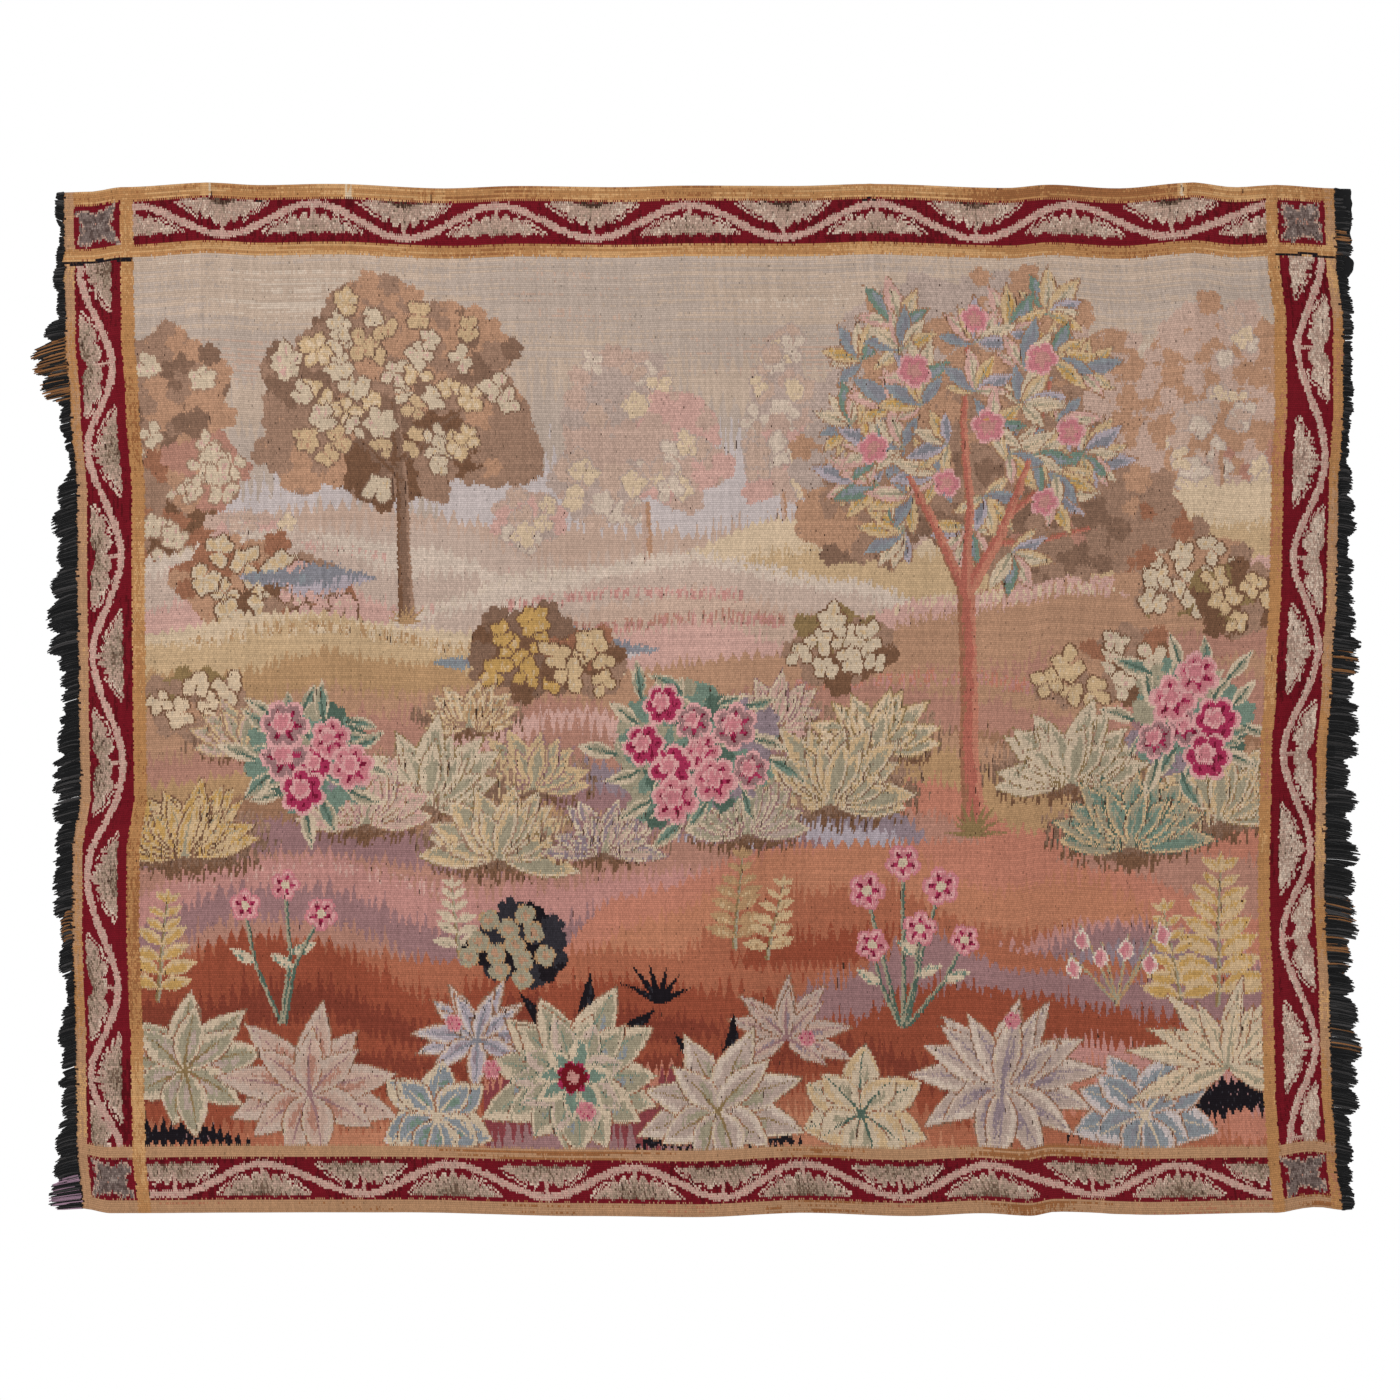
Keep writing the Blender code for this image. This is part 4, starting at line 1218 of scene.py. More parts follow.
def weave_foreground(art):
    """The broad-leaved plants along the foot, with the dark shade between them."""
    shrub = in_field(0.47, 0.835)
    crown(art, *shrub, 0.062, 0.052, 13, "navy navy_soft navy", turn=0.6, fleck=0.7, mottle=0.3)
    for k in range(12):
        angle, away = on_disc(k, 12, 0.3)
        place = around(shrub[0] - 0.016, shrub[1], 0.062, 0.046, angle, 0.95 * away)
        blossom(art, *place, 0.014, 4, "olive sage tan", turn=angle, fleck=0.6, mottle=0.35, lift=0.0002)
    grass = dict(size=0.06, count=6, spread=110, tones="navy navy_soft")
    tuft(art, *in_field(0.64, 0.905), fleck=0.3, **grass)
    for row in DARK_BANKS:
        bank = field_patch(art)
        teeth = art.teeth[bank.cut[1]][None, :]
        below = bank.z - eased(row.ridge, bank.x) + DARK_TOOTH * teeth
        above = eased(row.foot, bank.x) - DARK_TOOTH * (0.9 - teeth) - bank.z
        inside = (below > 0) & (above > 0) & (bank.x > row.start) & (bank.x < row.stop)
        bank.lay(inside, "navy navy_soft", 0.1, fleck=0.3)
        bank.lay(inside & (bank.speck > 0.93), "navy_soft mauve", 0.3, fleck=0.6)
    for row in PLANTS:
        x, z = in_field(row.u, row.v)
        for lean in (-128, -84, -40)[: row.shade]:
            place = x + 0.012, z - 0.012
            leaf(art, *place, lean, row.size, row.size * 0.22, "navy navy_soft teal_deep", fleck=0.4)
        look = dict(belly=row.belly, under="taupe_deep brown_red", fleck=0.5, mottle=0.25, lift=0.00035)
        leaves = row.upper, row.lower, row.width
        rosette(art, x, z, row.size, row.tones, row.rim, row.vein, *leaves, **look)
        if row.heart:
            head = x, z - 0.006
            look = dict(under="teal_deep sage", belly=1.05, fleck=0.5, mottle=0.3, lift=0.0004)
            outer, inner = ("dune sage teal", "cream dune", "teal"), ("cream teal blue_grey", "cream", "")
            spray(art, *head, row.size * 0.62, 9, -180, 140, *outer, width=0.46, **look)
            spray(art, *head, row.size * 0.42, 7, -170, 140, *inner, width=0.5, **look)
            blossom(art, *head, row.size * 0.17, 7, row.heart, fleck=0.4, lift=0.0005)
    look = dict(star="pink magenta", fleck=0.5, lift=0.0004)
    for k, (u, v, radius) in enumerate(BUDS):
        blossom(art, *in_field(u, v), radius, 6, "pink_light pink rose", turn=k, **look)


# Buds between the plants of the foot: across, down and radius
BUDS = (
    (0.43, 0.985, 0.012), (0.545, 1.035, 0.013), (0.385, 0.93, 0.011),
    (0.82, 0.95, 0.011), (1.075, 0.925, 0.011),
)
PLANTS = table(
    "u v size upper lower width belly shade tones rim vein heart",
    (0.05, 0.99, 0.1, 7, 4, 0.42, 0.95, 0,
     "cream sage ghost_grey teal", "cream dune", "olive_deep", ""),
    (0.412, 0.95, 0.082, 8, 3, 0.3, 0.8, 0,
     "lavender lavender_deep mauve_grey slate", "dune dune_light", "slate", ""),
    (0.205, 1.018, 0.112, 7, 4, 0.38, 0.85, 0,
     "dune ghost rose_tan mauve", "dune cream", "mauve", ""),
    (0.53, 1.0, 0.122, 8, 6, 0.42, 1.0, 3,
     "cream sage blue_grey slate", "cream sage", "teal", "magenta crimson rose"),
    (0.36, 1.045, 0.08, 5, 4, 0.54, 1.15, 0,
     "cream blue_grey teal slate", "cream lavender", "cream", ""),
    (0.795, 0.95, 0.08, 7, 2, 0.3, 0.85, 0,
     "ghost_grey ghost mauve_grey mauve", "dune ghost", "mauve", ""),
    (0.708, 1.034, 0.105, 6, 4, 0.42, 0.85, 2,
     "dune_light ghost_grey sage olive_deep", "cream dune", "olive_deep", ""),
    (0.885, 1.04, 0.088, 5, 4, 0.52, 1.15, 0,
     "cream_yellow cream sage teal_deep", "cream cream_yellow", "teal_deep", ""),
    (1.06, 1.008, 0.124, 9, 5, 0.32, 0.8, 0,
     "dune_light ghost_grey mauve_grey mauve", "dune cream", "mauve_grey", ""),
    (1.235, 1.04, 0.092, 6, 4, 0.5, 1.05, 0,
     "lavender blue_grey slate blue_deep", "dune lavender", "cream", ""),
    (1.34, 0.985, 0.12, 9, 2, 0.22, 0.85, 0,
     "cream sand_light sage olive", "cream cream_yellow", "sage", ""),
)


def weave_slits(art):
    """Dark slits, painted as the shade in the gaps, and stray dark stitches, mostly where two colours meet
    along the wefts.
    """
    yarn = art.yarn
    meet = np.zeros(yarn.shape, dtype=bool)
    palette = yarn_palette() ** 0.45
    contrast = np.abs(palette[yarn[:, 1:]] - palette[yarn[:, :-1]]).sum(axis=2)
    meet[:, 1:] = contrast > 0.13
    long = meet.copy()
    for shift in (1, 2, -1):
        long &= np.roll(meet, shift, axis=0)
    chance = art.cloud(0.09, 0.09)
    # Painted shade: dark yarn in runs where two colours meet, for the shadow inside the slits
    slit = long & (art.strokes(2, 6) > 0.955 - 0.09 * chance - 0.05 * (art.fleck > 0.48))
    crimson = yarn == YARN_NUMBER["crimson"]
    yarn[slit & ~crimson] = YARN_NUMBER["slit"]
    stray_dark = (art.fleck > 0.45) & (art.draws.random(yarn.shape) > 0.9992 - 0.0012 * chance)
    yarn[stray_dark] = YARN_NUMBER["slit"]


def make_cartoon(tooth, seed):
    """The whole picture: the field first, the border over it, and the slits last."""
    art = Cartoon(tooth, seed)
    weave_field(art)
    weave_border(art)
    weave_slits(art)
    return art


def linear(value):
    """One colour part from 0 to 255 as its linear value."""
    value = value / 255
    return value / 12.92 if value <= 0.04045 else ((value + 0.055) / 1.055) ** 2.4


def linear_yarn(colour):
    """A yarn's red, green and blue as a linear colour with its alpha."""
    return [linear(part) for part in colour] + [1.0]


def set_yarn(mesh, colours):
    """Stores the yarn's colour at each vertex of a mesh, or one colour at them all."""
    layer = mesh.attributes.new("yarn", "FLOAT_COLOR", "POINT")
    layer.data.foreach_set("color", np.broadcast_to(colours, (len(mesh.vertices), 4)).ravel())


def grid_mesh(name, columns, rows):
    """A flat unit grid as a mesh, with each vertex's place from 0 to 1 across it and down it."""
    bm = bmesh.new()
    bmesh.ops.create_grid(bm, x_segments=columns, y_segments=rows, size=0.5)
    mesh = bpy.data.meshes.new(name)
    bm.to_mesh(mesh)
    bm.free()
    flat = np.empty(len(mesh.vertices) * 3)
    mesh.vertices.foreach_get("co", flat)
    flat = flat.reshape(-1, 3)
    return mesh, flat[:, 0] + 0.5, 0.5 - flat[:, 1]


def new_object(name, data):
    """An object that holds a mesh, curve, light or camera, linked to the scene."""
    thing = bpy.data.objects.new(name, data)
    bpy.context.scene.collection.objects.link(thing)
    return thing


def new_piece(name, mesh, material, slot, *nodes):
    """Links a finished mesh as a piece of the part, smooth, in place of the CAD nodes named."""
    mesh.materials.append(material)
    piece = new_object(name, mesh)
    mesh.shade_smooth()
    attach(piece, "root")
    if nodes:
        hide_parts(*nodes)
    return piece


def yarn_palette():
    """Every yarn's linear colour, in the order of its number."""
    return np.array([[linear(part) for part in YARNS[name]] for name in YARN_NAMES])


def make_faces(name, art, first_row, last_row, step, forward, fine, material):
    """A strip of woven face: a cell for every few warps and passes, with the yarns of its two halves."""
    rows = (last_row - first_row) // step
    columns = art.passes // (PASSES_PER_CELL * step)
    mesh, u, v = grid_mesh(name, columns, rows)
    share = (first_row + v * (last_row - first_row)) / art.rows
    across, depth = u * WIDTH, share * HEIGHT
    cells = art.lift.reshape(art.rows, art.passes // 2, 2).mean(axis=2)
    padded = np.pad(cells, 1, mode="edge")
    corners = (padded[1:, 1:] + padded[:-1, 1:] + padded[1:, :-1] + padded[:-1, :-1]) / 4
    row_at = np.rint(share * art.rows).astype(int)
    column_at = np.rint(u * (art.passes // 2)).astype(int)
    uneven = np.random.default_rng(first_row + step).normal(0, UNEVEN_YARN, len(u))
    places = drape(across, depth, forward + (corners[row_at, column_at] + uneven) * fine, fine)
    places[:, 1] = np.minimum(places[:, 1], 0)
    mesh.vertices.foreach_set("co", places.ravel())
    loops = np.empty(len(mesh.loops), dtype=int)
    mesh.loops.foreach_get("vertex_index", loops)
    corners_of_face = loops.reshape(-1, 4)
    column = (u[corners_of_face].mean(axis=1) * columns).astype(int)
    row = (v[corners_of_face].mean(axis=1) * rows).astype(int)
    palette = yarn_palette()
    for half, label in enumerate(("yarn_left", "yarn_right")):
        passes = PASSES_PER_CELL * step * column + step * half
        warps = first_row + step * row
        colour = np.column_stack((palette[art.yarn[warps, passes]], art.fleck[warps, passes]))
        layer = mesh.attributes.new(label, "FLOAT_COLOR", "FACE")
        layer.data.foreach_set("color", colour.ravel())
    web = mesh.uv_layers.new(name="Web")
    web.data.foreach_set("uv", np.column_stack((across, depth))[loops].ravel())
    bake = mesh.uv_layers.new(name="OFBake")
    bake.data.foreach_set("uv", np.column_stack((u, 1 - v))[loops].ravel())
    if forward == 0:
        mesh.flip_normals()
    return new_piece(name, mesh, material, "woven_wool")


def make_web(material):
    """The closed thin sheet between the two woven faces, which also makes the cloth's rim."""
    bm = bmesh.new()
    bmesh.ops.create_grid(bm, x_segments=WEB_COLUMNS, y_segments=WEB_ROWS, size=0.5)
    front = bmesh.ops.extrude_face_region(bm, geom=bm.faces[:])["geom"]
    moved = {v for v in front if isinstance(v, bmesh.types.BMVert)}
    bm.verts.index_update()
    u = np.array([v.co.x + 0.5 for v in bm.verts])
    down = np.array([0.5 - v.co.y for v in bm.verts])
    ahead = np.array([v in moved for v in bm.verts])
    rim = (np.abs(u - 0.5) > 0.4999) | (np.abs(down - 0.5) > 0.4999)
    u = pull_to_rim(u * WEB_COLUMNS, WEB_COLUMNS, RIM_CELL / WIDTH)
    down = pull_to_rim(down * WEB_ROWS, WEB_ROWS, RIM_CELL / HEIGHT)
    at_rim = np.where(ahead, THICKNESS - RIM_INSET, RIM_INSET)
    forward = np.where(rim, at_rim, np.where(ahead, WEB_FRONT, WEB_BACK))
    fine = np.where(rim, np.where(ahead, 1.0, BACK_RELIEF), WEB_RELIEF)
    places = drape(u * WIDTH, down * HEIGHT, forward, fine)
    places[:, 1] = np.minimum(places[:, 1], 0)
    for vert, place in zip(bm.verts, places):
        vert.co = place
    bmesh.ops.recalc_face_normals(bm, faces=bm.faces)
    mesh = bpy.data.meshes.new("web")
    bm.to_mesh(mesh)
    bm.free()
    set_yarn(mesh, linear_yarn(YARNS["gold"]))
    return new_piece("web", mesh, material, "woven_wool", "tapestry_cloth")


def pull_to_rim(number, count, rim_cell):
    """Even places from 0 to 1, but for a narrow first and last cell."""
    inner = rim_cell + (number - 1) / (count - 2) * (1 - 2 * rim_cell)
    return np.where(number < 0.5, 0.0, np.where(number > count - 0.5, 1.0, inner))


# A strand's points in each ring and in its two end caps. The joined mesh starts with the caps of all the
# strands, the last strand's before the others
RING_POINTS = 4
CAP_POINTS = 8


def make_strands(name, runs, colours, material, slot, *nodes):
    """Strands in one mesh. Each run is a list of points with a half width, and all have as many points."""
    curve = bpy.data.curves.new(name, "CURVE")
    curve.dimensions = "3D"
    curve.bevel_depth = 1.0
    curve.bevel_resolution = 0
    curve.use_fill_caps = True
    for run in runs:
        spline = curve.splines.new("POLY")
        spline.points.add(len(run) - 1)
        spline.points.foreach_set("co", np.column_stack((run[:, :3], np.ones(len(run)))).ravel())
        spline.points.foreach_set("radius", run[:, 3])
    carrier = new_object(name + "_path", curve)
    graph = bpy.context.evaluated_depsgraph_get()
    mesh = bpy.data.meshes.new_from_object(carrier.evaluated_get(graph))
    bpy.data.objects.remove(carrier)
    bpy.data.curves.remove(curve)
    mesh.name = name
    of_tube = RING_POINTS * len(runs[0])
    if len(mesh.vertices) != (of_tube + CAP_POINTS) * len(runs):
        raise RuntimeError(f"{name}: its strands differ in number of points")
    colours = np.array(colours)
    by_cap, by_ring = np.repeat(colours[::-1], CAP_POINTS, axis=0), np.repeat(colours, of_tube, axis=0)
    set_yarn(mesh, np.vstack((by_cap, by_ring)))
    mesh.materials.clear()
    return new_piece(name, mesh, material, slot, *nodes)


# Where a side's pile shows another yarn: the share of locks between two depths, and of strands in such a lock
OTHER_PILE = table(
    "side start stop locks strands yarn",
    ("left", 0.172, 0.25, 1.0, 0.5, "pile_brown"),
    ("left", 0.56, 0.72, 0.22, 0.4, "pile_brown"),
    ("left", 0.9, 1.06, 0.15, 0.4, "pile_brown"),
    ("left", 1.218, 1.247, 1.0, 0.4, "pile_mauve"),
    ("right", 0.04, 0.12, 0.2, 0.2, "pile_brown"),
    ("right", 0.56, 0.64, 0.2, 0.16, "pile_brown"),
    ("right", 0.87, 0.94, 1.0, 0.1, "pile_brown"),
    ("right", 1.02, 1.12, 0.3, 0.12, "pile_brown"),
)
PILE_YARNS = {
    "pile_black": (17, 17, 18),
    # The grey stands for painted sheen on the black pile
    "pile_grey": (54, 52, 52),
    "pile_brown": (128, 86, 50),
    "pile_mauve": (150, 120, 138),
}
LEFT_FRINGE = table(
    "depth length droop",
    (0.0, 0.011, -0.6), (0.04, 0.008, 0.1), (0.06, 0.004, 0.1), (0.085, 0.01, 0.1),
    (0.11, 0.013, 0.1), (0.15, 0.009, 0.15), (0.185, 0.042, 0.3), (0.225, 0.037, 0.25),
    (0.262, 0.01, 0.3), (0.3, 0.013, 0.35), (0.335, 0.007, 0.35), (0.38, 0.027, 0.35),
    (0.42, 0.035, 0.35), (0.46, 0.04, 0.3), (0.5, 0.035, 0.3), (0.54, 0.037, 0.3),
    (0.582, 0.022, 0.3), (0.622, 0.02, 0.3), (0.662, 0.026, 0.3), (0.702, 0.035, 0.3),
    (0.742, 0.031, 0.3), (0.782, 0.025, 0.35), (0.823, 0.023, 0.3), (0.863, 0.023, 0.3),
    (0.903, 0.015, 0.3), (0.943, 0.016, 0.35), (0.983, 0.013, 0.35), (1.023, 0.02, 0.35),
    (1.063, 0.023, 0.35), (1.1, 0.021, 0.35), (1.144, 0.025, 0.3), (1.184, 0.028, 0.3),
    (1.218, 0.034, 0.2), (1.247, 0.052, -0.1),
)
RIGHT_FRINGE = table(
    "depth length droop",
    (0.0, 0.024, 0.05), (0.06, 0.027, 0.1), (0.1, 0.018, 0.15), (0.14, 0.018, 0.15),
    (0.181, 0.012, 0.15), (0.221, 0.013, 0.2), (0.261, 0.011, 0.2), (0.301, 0.008, 0.2),
    (0.341, 0.011, 0.2), (0.381, 0.023, 0.2), (0.421, 0.021, 0.2), (0.461, 0.019, 0.2),
    (0.502, 0.022, 0.2), (0.542, 0.031, 0.15), (0.582, 0.036, 0.15), (0.622, 0.033, 0.15),
    (0.662, 0.042, 0.15), (0.702, 0.04, 0.15), (0.742, 0.036, 0.15), (0.782, 0.044, 0.15),
    (0.823, 0.04, 0.15), (0.863, 0.038, 0.2), (0.903, 0.051, 0.15), (0.943, 0.03, 0.15),
    (0.983, 0.037, 0.15), (1.023, 0.044, 0.15), (1.063, 0.03, 0.2), (1.104, 0.033, 0.2),
    (1.144, 0.028, 0.2), (1.184, 0.021, 0.2), (1.218, 0.022, 0.15), (1.247, 0.012, 0.3),
)
# The pile's locks at a side, how uneven their widths and lengths are, and how far each spreads
LOCKS_PER_SIDE = 46
LOCK_WIDTHS = (0.4, 1.8)
RAGGED = 0.44
LOCK_SPREAD = 0.58
# The share of strands in grey: painted sheen on the black pile
SHEEN_GREY_SHARE = 0.17
# Where the points of a strand are along it, and how thick it is there
STRAND_STEPS = np.array((0.0, 0.36, 0.7, 1.0))
STRAND_TAPER = np.array((1.0, 1.05, 1.0, 0.5))
TAIL_HALF_WIDTH = 0.00045
# The heading's folded end, and how much shorter the pile under it is
FLAP_DEPTH = 0.108
FLAP_WIDTH = 0.0185
FLAP_THICKNESS = 0.0011
FLAP_COLUMNS = 10
FLAP_ROWS = 36
UNDER_FLAP = 0.8
# The web between the woven faces, and how much of the fine relief it and the woven back take up
WEB_COLUMNS = 132
WEB_ROWS = 106
RIM_CELL = 0.0016
RIM_INSET = 0.00003
WEB_FRONT = 0.0011
WEB_BACK = 0.0007
WEB_RELIEF = 0.7
BACK_RELIEF = 0.4
# How unevenly the yarns of a woven face stand
UNEVEN_YARN = 0.00004


def make_fringe(side, per_lock, half_width, material):
    """The dark pile down one side: locks of tapering strands, rooted in the cloth's edge."""
    draws = random.Random(side)
    rows, sign, edge = (LEFT_FRINGE, -1, 0.0) if side == "left" else (RIGHT_FRINGE, 1, WIDTH)
    runs, colours = [], []
    stops = np.cumsum([draws.uniform(*LOCK_WIDTHS) for _ in range(LOCKS_PER_SIDE)])
    stops *= HEIGHT / stops[-1]
    for stop, wide in zip(stops, np.diff(stops, prepend=0.0)):
        middle = stop - wide / 2
        length = float(eased(rows, middle, 1)) * (1 - RAGGED * draws.random() ** 2)
        droop = float(eased(rows, middle, 2)) + draws.uniform(-0.04, 0.04)
        if side == "right" and middle < FLAP_DEPTH:
            length *= UNDER_FLAP
        lean = -draws.uniform(0, 0.004)
        curl = draws.uniform(-0.001, 0.001)
        gather = draws.uniform(-0.05, 0.16)
        others = [row for row in OTHER_PILE if row.side == side and row.start <= middle <= row.stop]
        turned_share = others[0].strands if others and draws.random() < others[0].locks else 0.0
        for _ in range(round(per_lock * LOCKS_PER_SIDE * wide / HEIGHT)):
            depth = middle + wide * draws.uniform(-LOCK_SPREAD, LOCK_SPREAD)
            depth = min(max(depth, 0.0005), HEIGHT - 0.0005)
            inside = edge - sign * draws.uniform(0.0002, 0.003)
            root = drape(np.array(inside), np.array(depth), draws.uniform(-0.0002, THICKNESS + 0.0006), 0.5)
            off_middle = abs(depth - middle) / wide
            reach = length * draws.uniform(0.84, 1.05) * (1 - 2.2 * off_middle**3)
            to_middle = (depth - middle) * gather
            t = STRAND_STEPS
            run = np.empty((len(t), 4))
            run[:, 0] = root[0] + sign * reach * t
            run[:, 1] = np.minimum(root[1] + lean * t + draws.uniform(-0.0016, 0.0008) * t, -half_width)
            fall = droop * reach * (0.5 * t + 0.5 * t**2)
            run[:, 2] = root[2] - fall + to_middle * t + curl * np.sin(2.6 * t)
            run[:, 3] = half_width * STRAND_TAPER * draws.uniform(0.75, 1.15)
            runs.append(run)
            # Some strands are grey: painted sheen on the black pile
            yarn = "pile_grey" if draws.random() < SHEEN_GREY_SHARE else "pile_black"
            if draws.random() < turned_share:
                yarn = others[0].yarn
            shade = draws.uniform(0.6, 1.2)
            colours.append([min(1.0, linear(part) * shade) for part in PILE_YARNS[yarn]] + [1.0])
    return make_strands(f"fringe_pile_{side}", runs, colours, material, "fringe_wool", f"fringe_{side}")


def make_flap(material):
    """The smooth black end of the fringe's heading, folded over at the top of the right edge."""
    mesh, u, v = grid_mesh("fringe_flap", FLAP_COLUMNS, FLAP_ROWS)
    places = drape(np.full(len(u), WIDTH - 0.0012), v * FLAP_DEPTH + 0.0008, 0.0, 0.3)
    pinch = smooth(1 - np.abs(v - 0.72) / 0.1)
    foot = smooth((v - 0.9) / 0.1)
    wide = FLAP_WIDTH + 0.0014 * np.sin(9 * v) + 0.0007 * np.sin(47 * v) - 0.0065 * pinch - 0.007 * foot
    places[:, 0] += u * wide
    places[:, 1] += -THICKNESS - 0.001 - 0.002 * np.sin(math.pi * u) * (0.6 + 0.4 * np.sin(7 * v + 1))
    mesh.vertices.foreach_set("co", places.ravel())
    bm = bmesh.new()
    bm.from_mesh(mesh)
    bmesh.ops.solidify(bm, geom=bm.faces[:], thickness=FLAP_THICKNESS)
    bmesh.ops.recalc_face_normals(bm, faces=bm.faces)
    bm.to_mesh(mesh)
    bm.free()
    set_yarn(mesh, linear_yarn(PILE_YARNS["pile_black"]))
    return new_piece("fringe_flap", mesh, material, "fringe_wool")


def make_tails(art, count, material):
    """Cut ends of weft that hang loose behind the picture."""
    draws = random.Random("tails")
    palette = yarn_palette()
    runs, colours = [], []
    for _ in range(count):
        across = draws.uniform(0.02, WIDTH - 0.02)
        depth = draws.uniform(0.09, HEIGHT - 0.04)
        length = draws.uniform(0.01, 0.03)
        slant = draws.uniform(-0.5, 0.5)
        t = STRAND_STEPS
        line_x = across + length * slant * t
        line_z = np.minimum(depth + length * t, HEIGHT - 0.002)
        places = drape(line_x, line_z, 0.0, BACK_RELIEF)
        lift = 0.0005 + draws.uniform(0, 0.001) * np.sin(math.pi * t)
        run = np.empty((len(t), 4))
        run[:, :3] = places
        run[:, 1] = np.minimum(places[:, 1] + lift, -0.0002)
        run[:, 3] = TAIL_HALF_WIDTH * draws.uniform(0.7, 1.2)
        runs.append(run)
        yarn = art.yarn[int(depth / art.row_pitch), int(across / art.pass_pitch)]
        colours.append([*(palette[yarn] * draws.uniform(0.75, 1.1)), 1.0])
    return make_strands("yarn_tails", runs, colours, material, "woven_wool")


WOOL_ROUGHNESS = 0.92
WOOL_SPECULAR = 0.03
WOOL_SHEEN_ROUGHNESS = 0.6
SELVEDGE_SHEEN = 0.08
PILE_ROUGHNESS = 0.85
PILE_SHEEN = 0.1
DUST = (0.5, 0.38, 0.28, 1.0)


def worked_out(operation, swapped=False):
    """A method that has the material work out an operation on a Value and what stands beside it."""

    def method(self, *others):
        values = (*others, self) if swapped else (self, *others)
        return self.shader.math(operation, *values)

    return method


class Value:
    """A number that a material works out, for plain arithmetic with numbers and with others like it."""

    def __init__(self, shader, socket):
        self.shader = shader
        self.socket = socket

    __add__ = __radd__ = worked_out("ADD")
    __sub__ = worked_out("SUBTRACT")
    __rsub__ = worked_out("SUBTRACT", swapped=True)
    __mul__ = __rmul__ = worked_out("MULTIPLY")
    __truediv__ = worked_out("DIVIDE")
    __mod__ = worked_out("FLOORED_MODULO")
    __pow__ = worked_out("POWER")
    __gt__ = worked_out("GREATER_THAN")
    __abs__ = worked_out("ABSOLUTE")
    floor = worked_out("FLOOR")
    sine = worked_out("SINE")


class Shader:
    """A Principled material that is put together node by node."""

    def __init__(self, name, roughness, sheen):
        self.material = bpy.data.materials.new(name)
        self.material.use_nodes = True
        self.nodes = self.material.node_tree.nodes
        self.links = self.material.node_tree.links
        self.surface = self.nodes["Principled BSDF"]
        self.surface.inputs["Roughness"].default_value = roughness
        self.surface.inputs["Specular IOR Level"].default_value = WOOL_SPECULAR
        self.surface.inputs["Sheen Weight"].default_value = sheen
        self.surface.inputs["Sheen Roughness"].default_value = WOOL_SHEEN_ROUGHNESS

    def feed(self, socket, value):
        if isinstance(value, Value):
            self.links.new(value.socket, socket)
        else:
            socket.default_value = value

    def node(self, kind, settings, sockets, output=0):
        """Any node: its settings first, then its sockets by name or number."""
        node = self.nodes.new("ShaderNode" + kind)
        for key, value in settings.items():
            setattr(node, key, value)
        for key, value in sockets.items():
            self.feed(node.inputs[key], value)
        return Value(self, node.outputs[output])

    def attribute(self, name, output):
        return self.node("Attribute", {"attribute_name": name}, {}, output)

    def math(self, operation, *values):
        return self.node("Math", {"operation": operation}, dict(enumerate(values)))

    def blend(self, share, first, second):
        """A colour between two others."""
        return self.node("Mix", {"data_type": "RGBA"}, {0: share, 6: first, 7: second}, 2)

    def scale(self, colour, amount):
        """A colour made lighter or darker."""
        return self.node("VectorMath", {"operation": "SCALE"}, {0: colour, "Scale": amount})

    def place(self, x, y, z=0.0):
        return self.node("CombineXYZ", {}, {0: x, 1: y, 2: z})

    def noise(self, vector, scale, detail=2.0):
        return self.node("TexNoise", {}, {"Vector": vector, "Scale": scale, "Detail": detail})

    def chance(self, vector):
        return self.node("TexWhiteNoise", {"noise_dimensions": "3D"}, {"Vector": vector})

    def bump(self, height, strength, distance):
        sockets = {"Strength": strength, "Distance": distance, "Height": height}
        normal = self.node("Bump", {}, sockets)
        self.feed(self.surface.inputs["Normal"], normal)


def yarn_material(name, roughness, sheen):
    """Plain twisted yarn, coloured strand by strand."""
    shader = Shader(name, roughness, sheen)
    colour = shader.attribute("yarn", "Color")
    places = shader.node("TexCoord", {}, {}, "Object")
    fuzz = shader.noise(places, 1400.0)
    slow = shader.noise(places, 60.0)
    shader.feed(shader.surface.inputs["Base Color"], shader.scale(colour, 0.55 + 0.6 * fuzz + 0.3 * slow))
    shader.bump(fuzz, 0.5, 0.0003)
    return shader.material


